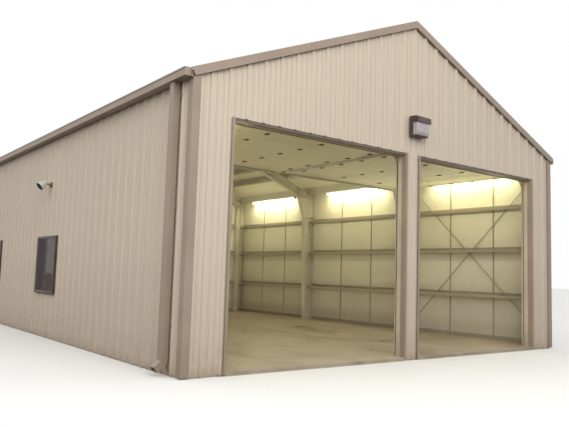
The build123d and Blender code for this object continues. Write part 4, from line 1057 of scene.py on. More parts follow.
class GARAGE_OT_insulation(bpy.types.Operator):
    """Lay the faced blankets, pillowed between the framing"""

    bl_idname = "garage.insulation"
    bl_label = "Insulation"

    def execute(self, context):
        sizes = context.scene.garage_sizes
        step, crown = sizes.facing_step, sizes.pillow
        outer_x, outer_y = HALF_WIDTH - SHEET_INNER, HALF_LENGTH - SHEET_INNER
        self.side_walls(step, crown, outer_x)
        self.end_walls(step, crown, outer_x, outer_y)
        self.roof(step * 1.2, crown, outer_x, outer_y)
        return {"FINISHED"}

    def girt_bands(self):
        """Where the base trim and the girts press on the facing."""
        base_trim, under, over = 0.096, 0.004, 0.068
        girts = [(level - under, level + over) for level in GIRT_LEVELS]
        return [(SLAB_TOP, SLAB_TOP + base_trim), *girts]

    def side_walls(self, step, crown, outer_x):
        """The blankets of the side walls, with the windows cut out of the left one."""
        top = roof_level(GIRT_OUTER_X, ROOF_INNER)
        half, post, rail, column_half, bar_half = WINDOW_SIZE / 2, 0.082, 0.070, 0.080, 0.019
        ends = (-GIRT_END_Y, GIRT_END_Y)
        bars = [middle + shift for middle in BAY_MIDDLES for shift in (-SAG_BAR_OFFSET, SAG_BAR_OFFSET)]
        upright = bands(FRAME_LINES, column_half) + bands(bars, bar_half)
        level = [*self.girt_bands(), (STRUT_BOTTOM - 0.010, EAVE)]
        rails = [(WINDOW_SILL - rail, WINDOW_SILL), (WINDOW_TOP, GIRT_LEVELS[1])]
        left = free_spans(*ends, upright + bands(WINDOW_CENTRES, half + post)) + bands(WINDOW_CENTRES, half)
        quilt(
            "left_wall_facing", "side_insulation", (ends, sorted(left)),
            ((SLAB_TOP, top), free_spans(SLAB_TOP, top, level + rails)),
            lambda u, v, out: Vector((-out, u, v)), (GIRT_OUTER_X, outer_x), crown, step, 0.5,
            inside=lambda u, v: not in_window(u, v),
        )
        quilt(
            "right_wall_facing", "side_insulation", (ends, free_spans(*ends, upright)),
            ((SLAB_TOP, top), free_spans(SLAB_TOP, top, level)),
            lambda u, v, out: Vector((out, u, v)), (GIRT_OUTER_X, outer_x), crown, step, 2.5,
        )

    def end_walls(self, step, crown, outer_x, outer_y):
        """The blankets of the back wall, both gables and the front piers."""
        ends = (-outer_x, outer_x)
        faces = (GIRT_END_Y, outer_y)
        join_x, join_half, post_half, jamb_post = 2.9, 0.006, 0.055, 0.080
        corner_reach = GIRT_INNER_X - 0.210
        corners = [(-outer_x, -corner_reach), (corner_reach, outer_x)]
        joins = bands((-join_x, 0.0, join_x), join_half)
        posts = bands((-BACK_POST_X, BACK_POST_X), post_half)
        width = (ends, free_spans(*ends, posts + corners + joins))
        eave = roof_level(outer_x, ROOF_INNER)
        quilt(
            "back_wall_facing", "back_insulation", width,
            ((SLAB_TOP, eave), free_spans(SLAB_TOP, eave, [*self.girt_bands(), (eave - 0.02, eave)])),
            lambda u, v, out: Vector((u, out, v)), faces, crown, step * 1.3, 3.0,
        )
        for name, node, end, low, margin, seed in (
            ("back_gable_facing", "back_insulation", 1, eave, 0.12, 7.0),
            ("gable_facing", "front_gable_insulation", -1, HEAD, 0.10, 4.0),
        ):

            def gable_place(u, v, out, end=end, low=low):
                share = (v - low) / (RIDGE - low)
                return Vector((u, end * out, low + (roof_level(u, ROOF_INNER) - low) * share))

            quilt(
                name, node, width, ((low, RIDGE), [(low + margin, RIDGE - 0.15)]), gable_place, faces,
                crown * 0.6, step * 1.3, seed,
            )
        posts = [tuple(sorted((edge, edge + side * jamb_post))) for edge, side in DOOR_EDGES]
        quilt(
            "pier_facing", "front_pier_insulation", (ends, free_spans(*ends, corners + posts) + posts),
            ((SLAB_TOP, HEAD), [(SLAB_TOP + 0.1, HEAD - 0.05)]),
            lambda u, v, out: Vector((u, -out, v)), faces, 0.0, step, 5.0,
            inside=lambda u, v: all(abs(u - centre) > DOOR_WIDTH / 2 for centre in DOOR_CENTRES),
        )

    def roof(self, step, crown, outer_x, outer_y):
        """The blankets of both halves of the roof, pressed by the purlins and lapped in rolls."""
        roll_width, lap_half, uphill, downhill = 1.524, 0.012, 0.064, 0.006
        middles = [place * math.cos(SLOPE) for place in PURLIN_PLACES]
        purlins = [(x - uphill, x + downhill) for x in middles]
        pressed = [(0.0, 0.02), *purlins, (GIRT_INNER_X - 0.01, outer_x)]
        walls = [(-outer_y, 0.01 - GIRT_END_Y), (GIRT_END_Y - 0.01, outer_y)]
        laps = bands([roll_width * i for i in range(-3, 4)], lap_half)
        for side, label in SIDES:
            quilt(
                f"{label}_roof_facing", f"{label}_roof_insulation",
                ((0.0, outer_x), free_spans(0.0, outer_x, pressed)),
                ((-outer_y, outer_y), free_spans(-outer_y, outer_y, walls + laps)),
                lambda u, v, out, side=side: roof_spot(side * u, v, -out), (-ROOF_INNER, -SHEET_INNER),
                crown, step, 6.0 + side,
            )


class GARAGE_OT_door_leaves(bpy.types.Operator):
    """Dress the raised door leaves with stiles, ribs and seals"""

    bl_idname = "garage.door_leaves"
    bl_label = "Door leaves"

    def execute(self, context):
        half = LEAF_WIDTH / 2
        stile_half, stile_gap, stile_out, rib_gap = 0.033, 0.012, 0.0025, 0.02
        stiles, seals, runs = bmesh.new(), bmesh.new(), []
        for (_, label), centre in zip(SIDES, DOOR_CENTRES):
            leaf = bmesh.new()
            for low, high in zip(DOOR_JOINTS, DOOR_JOINTS[1:]):
                add_block(
                    leaf, (centre - half, low, DOOR_UNDER),
                    (centre + half, high, DOOR_UNDER + DOOR_THICK), 0.0004,
                )
                for x in [centre + column for column in HINGE_COLUMNS]:
                    add_block(
                        stiles, (x - stile_half, low + stile_gap, DOOR_UNDER - stile_out),
                        (x + stile_half, high - stile_gap, DOOR_UNDER), 0.001,
                    )
                for y in [low + DOOR_SECTION * i / 4 for i in (1, 2, 3)]:
                    first, last = centre - half + rib_gap, centre + half - rib_gap
                    runs.append((Vector((first, y, DOOR_UNDER)), Vector((last, y, DOOR_UNDER)), (0, 0, -1)))
            from_bmesh(f"{label}_door_leaf", leaf, "door_skin", node=f"{label}_door_sections")
            add_block(
                seals, (centre - half, DOOR_FRONT_Y - 0.012, DOOR_UNDER + 0.010),
                (centre + half, DOOR_FRONT_Y + 0.001, DOOR_UNDER + 0.040), 0.004,
            )
        from_bmesh("door_stiles", stiles, "door_skin", weld=True)
        ridges("door_skin_ribs", runs, "door_skin", 0.034, 0.0012)
        from_bmesh("door_bottom_seals", seals, "rubber", weld=True)
        return {"FINISHED"}


class GARAGE_OT_weather_strips(bpy.types.Operator):
    """Line the doorways with rubber strips in a painted holder"""

    bl_idname = "garage.weather_strips"
    bl_label = "Weather strips"

    def execute(self, context):
        holder, lip = bmesh.new(), bmesh.new()
        low, high = SLAB_TOP + 0.004, HEAD - 0.001
        holder_front, holder_back = JAMB_BACK - 0.046, JAMB_BACK - 0.006
        lip_front, lip_back = JAMB_BACK - 0.018, JAMB_BACK - 0.008
        thick, out = 0.005, 0.012
        for edge, outward in DOOR_EDGES:
            face = edge - outward * thick
            add_block(holder, (edge, holder_front, low), (face, holder_back, high), 0.001)
            add_block(lip, (face, lip_front, low), (edge - outward * out, lip_back, high), 0.002)
        for centre in DOOR_CENTRES:
            left, right = centre - DOOR_WIDTH / 2 + thick, centre + DOOR_WIDTH / 2 - thick
            add_block(holder, (left, holder_front, HEAD - thick), (right, holder_back, HEAD), 0.001)
            add_block(lip, (left, lip_front, HEAD - out), (right, lip_back, HEAD - thick), 0.002)
        from_bmesh("weather_strip_holders", holder, "jamb_paint", weld=True)
        from_bmesh("weather_strip_lips", lip, "rubber", weld=True)
        return {"FINISHED"}


class GARAGE_OT_wall_lamp(bpy.types.Operator):
    """Build the hooded wall lamp and its prismatic lens"""

    bl_idname = "garage.wall_lamp"
    bl_label = "Wall lamp"

    def execute(self, context):
        left, right, wall = LAMP_X - 0.190, LAMP_X + 0.165, -HALF_LENGTH
        box_front = wall - 0.085
        lens_low, lens_high = LAMP_BOTTOM + 0.020, LAMP_TOP - 0.130
        case = bmesh.new()
        add_block(case, (left, box_front, LAMP_BOTTOM), (right, wall, LAMP_TOP - 0.002), 0.006)
        hood = [
            (box_front, lens_high), (box_front, LAMP_TOP - 0.004), (LAMP_FRONT + 0.050, LAMP_TOP - 0.010),
            (LAMP_FRONT + 0.010, LAMP_TOP - 0.034), (LAMP_FRONT, lens_high),
        ]
        sill = [
            (box_front, LAMP_BOTTOM), (box_front, lens_low), (LAMP_FRONT + 0.078, lens_low),
            (LAMP_FRONT + 0.082, LAMP_BOTTOM),
        ]
        for outline in (hood, sill):
            add_prism(case, outline, left + 0.001, right - 0.001, "X")
        screw_head = [(0, 0.006), (0.003, 0.006), (0.005, 0.004)]
        for x in (left + 0.020, right - 0.020):
            add_turned(case, (x, box_front + 0.001, LAMP_BOTTOM + 0.010), (0, -1, 0), screw_head, 10)
        from_bmesh("wall_lamp_hood", case, "bronze", node="wall_lamp_housing")
        corner, groove, steps = 0.014, 0.006, 18
        x_low, x_high = left + 0.008, right - 0.008
        run = x_high - x_low - 2 * corner
        rings = []
        for z, back in (
            (lens_low, 0.060), (lens_low + 0.05, 0.036), (lens_high - 0.05, 0.022), (lens_high, 0.020),
        ):
            front = LAMP_FRONT + back
            outline = [(x_low, box_front), (x_low, front + corner)]
            for i in range(steps + 1):
                outline.append((x_low + corner + run * i / steps, front + (0.0 if i % 2 else groove)))
            outline += [(x_high, front + corner), (x_high, box_front)]
            rings.append([(x, y, z) for x, y in outline])
        lens = bmesh.new()
        add_loft(lens, rings)
        from_bmesh("wall_lamp_prisms", lens, "lamp_lens", node="wall_lamp_lens")
        return {"FINISHED"}


class GARAGE_OT_hinges(bpy.types.Operator):
    """Bolt the hinges across the section joints"""

    bl_idname = "garage.hinges"
    bl_label = "Hinges"

    def execute(self, context):
        plate, knuckle = 0.005, [(0, 0.015), (0.018, 0.015)]
        shape = bmesh.new()
        spots = []
        for centre in DOOR_CENTRES:
            for y in DOOR_JOINTS[1:-1]:
                for x in [centre + column for column in HINGE_COLUMNS]:
                    for way in (-1, 1):
                        add_block(
                            shape, (x - HINGE_HALF, y + way * 0.005, DOOR_UNDER - plate),
                            (x + HINGE_HALF, y + way * 0.060, DOOR_UNDER), 0.001,
                        )
                        for shift in (-0.018, 0.018):
                            spot = Vector((x + shift, y + way * 0.040, DOOR_UNDER - plate))
                            spots.append((spot, (0, 0, -1)))
                    for start in (-0.030, -0.009, 0.012):
                        add_turned(shape, (x + start, y, DOOR_UNDER - 0.002), (1, 0, 0), knuckle, 12)
        # The hinge leaves are painted dark as a stand-in for their shade.
        from_bmesh("hinge_leaves", shape, "hinge_shade_and_bolt_steel", node="door_hinges")
        screws("hinge_bolts", spots, "dark_steel", 0.011, head=0.007)
        return {"FINISHED"}


class GARAGE_OT_rollers(bpy.types.Operator):
    """Fit the rollers' stems and wheels"""

    bl_idname = "garage.rollers"
    bl_label = "Rollers"

    def execute(self, context):
        stem = [
            (0, 0.0055), (0.051, 0.0055), (0.052, 0.009), (0.060, 0.009), (0.061, 0.0055), (0.081, 0.0055),
        ]
        wheel = [
            (0, 0.008), (0, 0.0195), (0.002, 0.0222), (0.010, 0.0222), (0.012, 0.0195), (0.012, 0.008),
        ]
        stem_inset, wheel_out, end_inset = 0.050, 0.020, 0.060
        places = [DOOR_FRONT_Y + end_inset, *DOOR_JOINTS[1:-1], DOOR_JOINTS[-1] - end_inset]
        stems, wheels = bmesh.new(), bmesh.new()
        for centre in DOOR_CENTRES:
            for side in (-1, 1):
                edge = centre + side * LEAF_WIDTH / 2
                for y in places:
                    add_turned(stems, (edge - side * stem_inset, y, TRACK_Z), (side, 0, 0), stem, 12)
                    add_turned(wheels, (edge + side * wheel_out, y, TRACK_Z), (side, 0, 0), wheel, 24)
        from_bmesh("roller_stems", stems, "galvanised", node="door_rollers")
        from_bmesh("roller_wheels", wheels, "lamp_white")
        return {"FINISHED"}


class GARAGE_OT_springs(bpy.types.Operator):
    """Wind the torsion springs and dress their shafts, drums and plates"""

    bl_idname = "garage.springs"
    bl_label = "Springs"

    def execute(self, context):
        y, z = JAMB_BACK + 0.110, HEAD + 0.380
        reach = DOOR_WIDTH / 2 + 0.038
        near, far, lap = 0.030, 0.850, 0.006
        low, high, plate_back = z - 0.065, z + 0.065, JAMB_BACK + 0.136
        drum = [
            (0, 0.030), (0, 0.055), (0.005, 0.055), (0.007, 0.046), (0.048, 0.042), (0.050, 0.052),
            (0.056, 0.052), (0.060, 0.026), (0.060, 0.020),
        ]
        cone = [(0, 0.016), (0, 0.0285), (0.012, 0.0285), (0.016, 0.024), (0.060, 0.020), (0.060, 0.015)]
        sizes = {
            "Coil Radius": 0.0245, "Wire Radius": 0.0042, "Turns": 84.0, "Length": far - near - 2 * lap,
        }
        steel, pads = bmesh.new(), bmesh.new()
        points, bolts = [], []
        for centre in DOOR_CENTRES:
            add_turned(steel, (centre - reach, y, z), (1, 0, 0), [(0, 0.013), (2 * reach, 0.013)], 16)
            for side in (-1, 1):
                add_turned(steel, (centre + side * (reach - 0.006), y, z), (-side, 0, 0), drum, 28)
                add_turned(steel, (centre + side * near, y, z), (side, 0, 0), cone, 20)
                add_turned(steel, (centre + side * far, y, z), (-side, 0, 0), cone, 20)
                points.append((centre + (near + lap if side > 0 else lap - far), y, z))
            for middle in (centre - reach, centre + reach, centre):
                add_block(steel, (middle - 0.003, JAMB_BACK, low), (middle + 0.003, plate_back, high), 0.002)
            add_block(
                steel, (centre - 0.030, JAMB_BACK, low), (centre + 0.030, JAMB_BACK + 0.005, high), 0.001,
            )
            add_block(
                pads, (centre - 0.075, JAMB_BACK - 0.030, HEAD + 0.076),
                (centre + 0.075, JAMB_BACK, GABLE_GIRT), 0.003,
            )
            bolts += [
                (Vector((centre + across, JAMB_BACK + 0.005, z + up)), (0, 1, 0))
                for across in (-0.020, 0.020) for up in (-0.050, 0.050)
            ]
        from_bmesh("spring_shafts", steel, "galvanised", node="door_springs")
        from_bmesh("spring_pads", pads, "framing", weld=True)
        grown_piece(
            "spring_coils", "coils", points, [], [(1, 0, 0)] * len(points), sizes, "dark_steel",
            smooth=True,
        )
        screws("spring_bolts", bolts, "dark_steel", 0.010, head=0.007)
        return {"FINISHED"}


class GARAGE_OT_strip_lights(bpy.types.Operator):
    """Assemble the strip lights: channels, sockets, capped tubes"""

    bl_idname = "garage.strip_lights"
    bl_label = "Strip lights"

    def execute(self, context):
        half, half_width, socket = 1.220, 0.055, 0.014
        bottom = STRUT_BOTTOM - 0.035
        shoulder, tube_z = bottom + 0.012, bottom - 0.022
        reach = half - socket
        right_side = [(half_width, STRUT_BOTTOM), (half_width, shoulder), (0.034, shoulder), (0.012, bottom)]
        channel = [(-half_width, STRUT_BOTTOM), *right_side, *((-x, z) for x, z in right_side[:0:-1])]
        tube = [(0, 0.017), (0.004, 0.0185), (2 * reach - 0.040, 0.0185), (2 * reach - 0.036, 0.017)]
        cap = [(0, 0.012), (0.002, 0.0185), (0.018, 0.0188), (0.020, 0.0175)]
        body, tubes, caps = bmesh.new(), bmesh.new(), bmesh.new()
        for side in (-1, 1):
            x = side * (GIRT_INNER_X + GIRT_OUTER_X) / 2
            for y in BAY_MIDDLES:
                add_prism(body, [(x + px, pz) for px, pz in channel], y - half, y + half, "Y")
                for end in (-1, 1):
                    add_block(
                        body, (x - half_width, y + end * half, bottom - 0.044),
                        (x + half_width, y + end * reach, STRUT_BOTTOM - 0.001), 0.003,
                    )
                for shift in (-0.0275, 0.0275):
                    add_turned(tubes, (x + shift, y - reach + 0.018, tube_z), (0, 1, 0), tube, 20)
                    for end in (-1, 1):
                        add_turned(caps, (x + shift, y + end * reach, tube_z), (0, -end, 0), cap, 20)
        from_bmesh("strip_light_channels", body, "lamp_white", node="strip_light_housings")
        from_bmesh("lit_tubes", tubes, "light_tube", smooth=True, node="light_tubes")
        from_bmesh("tube_caps", caps, "galvanised")
        return {"FINISHED"}


class GARAGE_OT_frame_bolts(bpy.types.Operator):
    """Bolt the frames' knees, their base plates and the girts"""

    bl_idname = "garage.frame_bolts"
    bl_label = "Frame bolts"

    def execute(self, context):
        bolts, anchors = [], []
        knee_x, knee_low, knee_rows, knee_half = 3.876, 3.917, (0.045, 0.120, 0.195), 0.045
        foot_z, foot_places, foot_half = SLAB_TOP + 0.016, (4.235, 4.430), 0.050
        girt_under, girt_places, girt_half = 0.008, (4.340, 4.430), 0.125
        for side in (-1, 1):
            for line in FRAME_LINES:
                bolts += [
                    (Vector((side * knee_x, line + shift, knee_low + up)), (side, 0, 0))
                    for up in knee_rows for shift in (-knee_half, knee_half)
                ]
                anchors += [
                    (Vector((side * along, line + shift, foot_z)), (0, 0, 1))
                    for along in foot_places for shift in (-foot_half, foot_half)
                ]
                bolts += [
                    (Vector((side * along, line + shift, level - girt_under)), (0, 0, -1))
                    for level in GIRT_LEVELS for shift in (-girt_half, girt_half) for along in girt_places
                ]
        screws("frame_bolts", bolts, "hinge_shade_and_bolt_steel", 0.018, head=0.013)
        screws("anchor_nuts", anchors, "hinge_shade_and_bolt_steel", 0.026, head=0.016)
        return {"FINISHED"}


class GARAGE_OT_windows(bpy.types.Operator):
    """Glaze the sliding windows: frame, sashes, screen and beads"""

    bl_idname = "garage.windows"
    bl_label = "Windows"

    def execute(self, context):
        half, side_bar, sill_bar, head_bar = WINDOW_SIZE / 2, 0.030, 0.034, 0.030
        low, high = WINDOW_SILL + sill_bar, WINDOW_TOP - head_bar
        out = -WINDOW_OUT
        frames, beads, screens, glass = bmesh.new(), bmesh.new(), bmesh.new(), bmesh.new()

        def bar(shape, depths, ys, zs, bevel=0.0):
            add_block(shape, (depths[0], ys[0], zs[0]), (depths[1], ys[1], zs[1]), bevel)

        for centre in WINDOW_CENTRES:
            front, back = centre - half, centre + half
            for ys, zs in (
                ((front, back), (WINDOW_SILL, low)), ((front, back), (high, WINDOW_TOP)),
                ((front, front + side_bar), (low, high)), ((back - side_bar, back), (low, high)),
            ):
                bar(frames, (out, out + 0.070), ys, zs, 0.003)
            drip = (WINDOW_SILL + 0.006, WINDOW_SILL + 0.018)
            bar(frames, (out - 0.004, out + 0.010), (front + 0.004, back - 0.004), drip, 0.002)
            for a, b, depth in (
                (front + side_bar, centre + 0.012, 0.012), (centre - 0.012, back - side_bar, 0.034),
            ):
                near, sash, rail = out + depth, 0.024, 0.028
                depths, between = (near, near + 0.020), (a + sash, b - sash)
                bar(frames, depths, (a, a + sash), (low, high), 0.002)
                bar(frames, depths, (b - sash, b), (low, high), 0.002)
                bar(frames, depths, between, (low, low + rail), 0.002)
                bar(frames, depths, between, (high - sash, high), 0.002)
                pane = (near + 0.008, near + 0.012)
                bar(glass, pane, (a + 0.022, b - 0.022), (low + 0.026, high - 0.022))
            a, b, near, bead = centre + 0.002, back - side_bar, out + 0.012, 0.014
            depths = (near, near + 0.012)
            bar(beads, depths, (b - bead, b), (low, high), 0.001)
            bar(beads, (near - 0.002, near + 0.012), (a, a + 0.012), (low, high), 0.001)
            bar(beads, depths, (a, b), (low, low + bead), 0.001)
            bar(beads, depths, (a, b), (high - bead, high), 0.001)
            bar(screens, (near + 0.004, near + 0.006), (a + 0.008, b - 0.010), (low + 0.010, high - 0.010))
        from_bmesh("window_sashes", frames, "bronze", node="window_frames")
        from_bmesh("window_screen_beads", beads, "bead")
        from_bmesh("window_screens", screens, "screen")
        from_bmesh("window_panes", glass, "glazing", node="window_glass")
        return {"FINISHED"}


class GARAGE_OT_flood_lamp(bpy.types.Operator):
    """Turn the flood lamp's base, arm and bell"""

    bl_idname = "garage.flood_lamp"
    bl_label = "Flood lamp"

    def execute(self, context):
        base = [(0, 0.058), (0.014, 0.058), (0.020, 0.054), (0.034, 0.052), (0.040, 0.046), (0.045, 0.030)]
        joint = [(0, 0.014), (0.004, 0.019), (0.036, 0.019), (0.040, 0.014)]
        bell = [
            (-0.050, 0.022), (-0.048, 0.036), (-0.040, 0.041), (-0.004, 0.044), (0.004, 0.050),
            (0.050, 0.068), (0.100, 0.083), (0.136, 0.091), (0.142, 0.095), (0.150, 0.095), (0.150, 0.088),
            (0.138, 0.084),
        ]
        pane = [(0.1382, 0.083), (0.143, 0.060), (0.145, 0.020), (0.1455, 0.0)]
        start = Vector((PAN - HALF_WIDTH, FLOOD_Y, FLOOD_Z))
        elbow, head = start + Vector((-0.045, 0, 0)), start + Vector((-0.1447, 0, 0.022))
        knuckle, aim = elbow.lerp(head, 0.42), (-0.8, -0.15, -0.6)
        dark, pale, glass = bmesh.new(), bmesh.new(), bmesh.new()
        add_turned(dark, start, (-1, 0, 0), base, 32)
        add_rod(dark, elbow, knuckle, 0.013, 16)
        add_turned(dark, knuckle - Vector((0, 0.020, 0)), (0, 1, 0), joint, 20)
        add_rod(pale, knuckle, head, 0.012, 16)
        add_turned(pale, head, aim, bell, 36)
        add_turned(glass, head, aim, pane, 36)
        from_bmesh("flood_lamp_bell", pale, "lamp_cream", smooth=True, node="flood_lamp")
        from_bmesh("flood_lamp_base", dark, "head_trim")
        from_bmesh("flood_lamp_glass", glass, "screen")
        return {"FINISHED"}


class GARAGE_OT_rain_goods(bpy.types.Operator):
    """Add the gutters' beads, hangers and seams and the downspouts' bands"""

    bl_idname = "garage.rain_goods"
    bl_label = "Rain goods"

    def execute(self, context):
        straps, seams, collars, beads = bmesh.new(), bmesh.new(), bmesh.new(), bmesh.new()
        front = HALF_WIDTH + 0.140
        low, high, bead, seam = EAVE - 0.140, EAVE - 0.020, 0.024, 0.0015
        strap_spacing, strap_start, strap_half, seam_half, collar_half = 0.6096, 0.15, 0.012, 0.030, 0.065
        for side in (-1, 1):

            def strip(shape, xs, ys, zs, bevel, side=side):
                add_block(shape, (side * xs[0], ys[0], zs[0]), (side * xs[1], ys[1], zs[1]), bevel)

            length = (-HALF_LENGTH, HALF_LENGTH)
            strip(beads, (front - 0.001, front + 0.008), length, (high - bead, high), 0.003)
            for y in [i * strap_spacing + strap_start for i in range(-9, 10)]:
                ys, zs = (y - strap_half, y + strap_half), (high - 0.006, high - 0.0035)
                strip(straps, (HALF_WIDTH + 0.046, front - 0.004), ys, zs, 0.0005)
            for y in (-3.05, 0.0, 3.05):
                ys = (y - seam_half, y + seam_half)
                strip(seams, (front - 0.001, front + seam), ys, (low - 0.001, high - bead - 0.0005), 0.0005)
                strip(seams, (HALF_WIDTH + 0.002, front + seam), ys, (low - 0.002, low), 0.0005)
            for end in (-1, 1):
                y = end * (HALF_LENGTH - 0.430)
                for z in (0.250, low - 0.030):
                    xs = (HALF_WIDTH + 0.003, HALF_WIDTH + 0.104 + seam)
                    ys, zs = (y - collar_half, y + collar_half), (z - 0.012, z + 0.012)
                    strip(collars, xs, ys, zs, 0.0005)
        from_bmesh("gutter_hangers", straps, "galvanised", weld=True)
        from_bmesh("gutter_seams", seams, "trim")
        from_bmesh("gutter_beads", beads, "trim", weld=True)
        from_bmesh("downspout_bands", collars, "trim", weld=True)
        return {"FINISHED"}


class GARAGE_OT_floor(bpy.types.Operator):
    """Cast the floor in panels with sawn joints"""

    bl_idname = "garage.floor"
    bl_label = "Floor"

    def execute(self, context):
        sill_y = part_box("floor_slab")[0][1]
        inner_x, inner_y = HALF_WIDTH - SHEET_INNER, HALF_LENGTH - SHEET_INNER
        depth, gap, reach = 0.010, 0.0025, DOOR_WIDTH / 2
        shape = bmesh.new()
        add_block(shape, (-inner_x, -inner_y, 0.0), (inner_x, inner_y, SLAB_TOP - depth))
        for centre in DOOR_CENTRES:
            low, high = (centre - reach, sill_y, 0.0), (centre + reach, -inner_y, SLAB_TOP - 0.002)
            add_block(shape, low, high, 0.0015)
        xs = [-inner_x, DOOR_SHIFT, inner_x]
        ys = [-inner_y, -BAY, 0.0, BAY, inner_y]
        for a, b in zip(xs, xs[1:]):
            for c, d in zip(ys, ys[1:]):
                add_block(
                    shape, (a + gap * (a > -inner_x), c + gap * (c > -inner_y), SLAB_TOP - depth),
                    (b - gap * (b < inner_x), d - gap * (d < inner_y), SLAB_TOP), 0.002,
                )
        from_bmesh("floor_panels", shape, "concrete", node="floor_slab")
        return {"FINISHED"}


class GARAGE_OT_trim_laps(bpy.types.Operator):
    """Lap the rake trims where their lengths meet, and cap their ends"""

    bl_idname = "garage.trim_laps"
    bl_label = "Trim laps"

    def execute(self, context):
        face, half_lap, skin, seams = HALF_LENGTH + RAKE_OUT, 0.030, 0.0015, (1.55, 3.10)
        laps, caps = bmesh.new(), bmesh.new()
        for side in (-1, 1):
            for middle in seams:
                a, b = middle - half_lap, middle + half_lap
                below = ((a, RAKE_FACE - 0.001), (b, RAKE_FACE - 0.001), (b, -0.003), (a, -0.003))
                outline = [(side * x, roof_level(x, depth)) for x, depth in below]
                for end in (-1, 1):
                    add_prism(laps, outline, end * (face - skin), end * (face - 0.0002), "Y")
        top, low, notch = (roof_level(ROOF_EDGE_X, below) for below in (-TRIM_THICK, RAKE_FACE, 0.032))
        for side in (-1, 1):
            edge, outer = side * ROOF_EDGE_X, side * (ROOF_EDGE_X + skin)
            for end in (-1, 1):
                for near, far, bottom in (
                    (HALF_LENGTH + 0.0005, face, low), (HALF_LENGTH - 0.080, HALF_LENGTH, notch),
                ):
                    add_block(caps, (edge, end * near, bottom), (outer, end * far, top))
        from_bmesh("rake_laps", laps, "trim")
        from_bmesh("rake_end_caps", caps, "trim")
        return {"FINISHED"}


def hang_lamp(name, place, target, size, power, colour, along=(0, 0, 1)):
    """Hangs a soft rectangular light at a place, facing a target, with its height along a direction."""
    light = bpy.data.lights.new(name, "AREA")
    light.shape = "RECTANGLE"
    light.size, light.size_y = size
    light.energy = power
    light.color = colour
    lamp = bpy.data.objects.new(name, light)
    back = (Vector(place) - Vector(target)).normalized()
    across = Vector(along).cross(back).normalized()
    turn = Matrix((across, back.cross(across), back)).transposed()
    lamp.matrix_world = Matrix.Translation(place) @ turn.to_4x4()
    lamp.visible_camera = False
    bpy.context.scene.collection.objects.link(lamp)


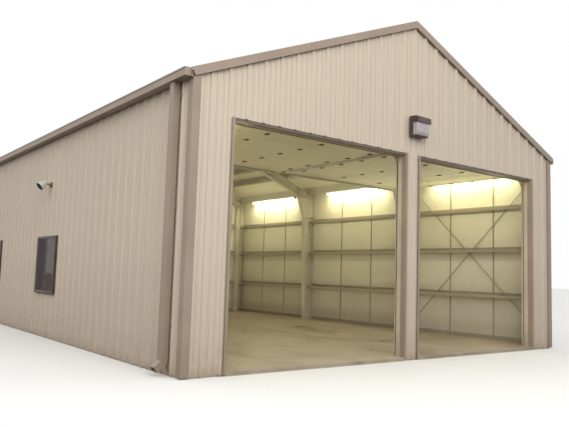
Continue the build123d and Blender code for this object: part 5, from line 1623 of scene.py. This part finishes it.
class GARAGE_OT_stage(bpy.types.Operator):
    """Lay the pale floor and hang the studio light"""

    bl_idname = "garage.stage"
    bl_label = "Stage"

    def execute(self, context):
        scene = context.scene
        reach = 150.0
        floor = bpy.data.meshes.new("Stage floor")
        corners = [(-reach, -reach, 0), (reach, -reach, 0), (reach, reach, 0), (-reach, reach, 0)]
        floor.from_pydata(corners, [], [(0, 1, 2, 3)])
        ground = bpy.data.objects.new("Stage_floor", floor)
        scene.collection.objects.link(ground)
        paint = Finish("Stage paint", (0.62, 0.61, 0.60), 0.9, specular=0.1)
        seen = paint.add("ShaderNodeLightPath", output="Is Camera Ray")
        paint.set("Base Color", paint.blend((0.12, 0.115, 0.11), (0.82, 0.82, 0.82), seen))
        floor.materials.append(paint.material)
        self.hang_sky(scene)
        self.hang_lamps(scene.garage_light)
        scene.view_settings.view_transform = "Standard"
        return {"FINISHED"}

    def hang_sky(self, scene):
        """Even light from all round, which the camera, glass and gloss see as plain white."""
        world = bpy.data.worlds.new("Studio")
        scene.world = world
        world.use_nodes = True
        studio = NodeTree(world.node_tree)
        sky = world.node_tree.nodes["Background"]
        studio.put((1.0, 0.99, 0.97), sky.inputs["Color"])
        studio.put(scene.garage_light.sky, sky.inputs["Strength"])
        white = studio.add("ShaderNodeBackground", {"Color": (1.0, 1.0, 1.0)})
        rays = world.node_tree.nodes.new("ShaderNodeLightPath").outputs
        seen = rays["Is Camera Ray"]
        for kind in ("Is Transmission Ray", "Is Glossy Ray"):
            seen = studio.add("ShaderNodeMath", {0: seen, 1: rays[kind]}, operation="MAXIMUM")
        mixed = studio.add("ShaderNodeMixShader", {0: seen, 1: sky.outputs[0], 2: white})
        studio.put(mixed, world.node_tree.nodes["World Output"].inputs["Surface"])

    def hang_lamps(self, light):
        """Two large lights outside, and soft ones inside that spread the tubes' glow."""
        hang_lamp("Key", (-6.2, -16.8, 9.0), (-3.6, -5.5, 2.5), (12.0, 9.0), light.key, (1.0, 0.99, 0.96))
        hang_lamp("Side", (-20.0, -4.0, 8.0), (-4.6, -3.0, 2.5), (14.0, 8.0), light.side, (1.0, 0.99, 0.97))
        lengthwise = (0, 1, 0)
        hang_lamp(
            "Ceiling", (0, 0, 0.30), (0, 0, 4.0), (8.0, 11.4), light.bounce, (1.0, 0.96, 0.70), lengthwise,
        )
        for side, label in SIDES:
            for i, y in enumerate(BAY_MIDDLES):
                hang_lamp(
                    f"Wash_{label}_{i}", (side * 4.20, y, 3.90), (side * 4.47, y, 3.30), (0.12, 2.5),
                    light.inside, (1.0, 0.94, 0.60), lengthwise,
                )
                hang_lamp(
                    f"Glow_{label}_{i}", (side * 3.10, y, 3.32), (side * 4.49, y, 2.95), (0.12, 2.6),
                    light.glow, (1.0, 0.94, 0.62), lengthwise,
                )
            hang_lamp(
                f"Room_{label}", (side * 3.70, 0, 3.30), (0, 0, 3.60), (0.10, 11.0), light.room,
                (1.0, 0.95, 0.66), lengthwise,
            )


steps = (
    GARAGE_OT_camera, GARAGE_OT_finishes, GARAGE_OT_minor_ribs, GARAGE_OT_sheeting_screws,
    GARAGE_OT_trim_screws, GARAGE_OT_insulation, GARAGE_OT_door_leaves, GARAGE_OT_weather_strips,
    GARAGE_OT_wall_lamp, GARAGE_OT_hinges, GARAGE_OT_rollers, GARAGE_OT_springs, GARAGE_OT_strip_lights,
    GARAGE_OT_frame_bolts, GARAGE_OT_windows, GARAGE_OT_flood_lamp, GARAGE_OT_rain_goods, GARAGE_OT_floor,
    GARAGE_OT_trim_laps, GARAGE_OT_stage,
)
groups = (
    ("garage_colours", GarageColours), ("garage_sizes", GarageSizes), ("garage_light", GarageLight),
)


class GARAGE_PT_sidebar(bpy.types.Panel):
    """Lists the garage's settings and steps"""

    bl_idname = "GARAGE_PT_sidebar"
    bl_label = "Garage"
    bl_space_type = "VIEW_3D"
    bl_region_type = "UI"
    bl_category = "Garage"

    def draw(self, context):
        for key, group in groups:
            box = self.layout.box()
            for name in group.__annotations__:
                box.prop(getattr(context.scene, key), name)
        for step in steps:
            self.layout.operator(step.bl_idname)


def register():
    """Registers the settings, steps and sidebar."""
    for key, group in groups:
        bpy.utils.register_class(group)
        setattr(bpy.types.Scene, key, bpy.props.PointerProperty(type=group))
    for kind in (*steps, GARAGE_PT_sidebar):
        bpy.utils.register_class(kind)


def unregister():
    """Takes everything that register() made away again."""
    for kind in reversed((*steps, GARAGE_PT_sidebar)):
        bpy.utils.unregister_class(kind)
    for key, group in reversed(groups):
        delattr(bpy.types.Scene, key)
        bpy.utils.unregister_class(group)


def main():
    """Runs every step in order."""
    register()
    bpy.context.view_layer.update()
    for step in steps:
        group, name = step.bl_idname.split(".")
        getattr(getattr(bpy.ops, group), name)()


if __name__ == "__main__":
    main()
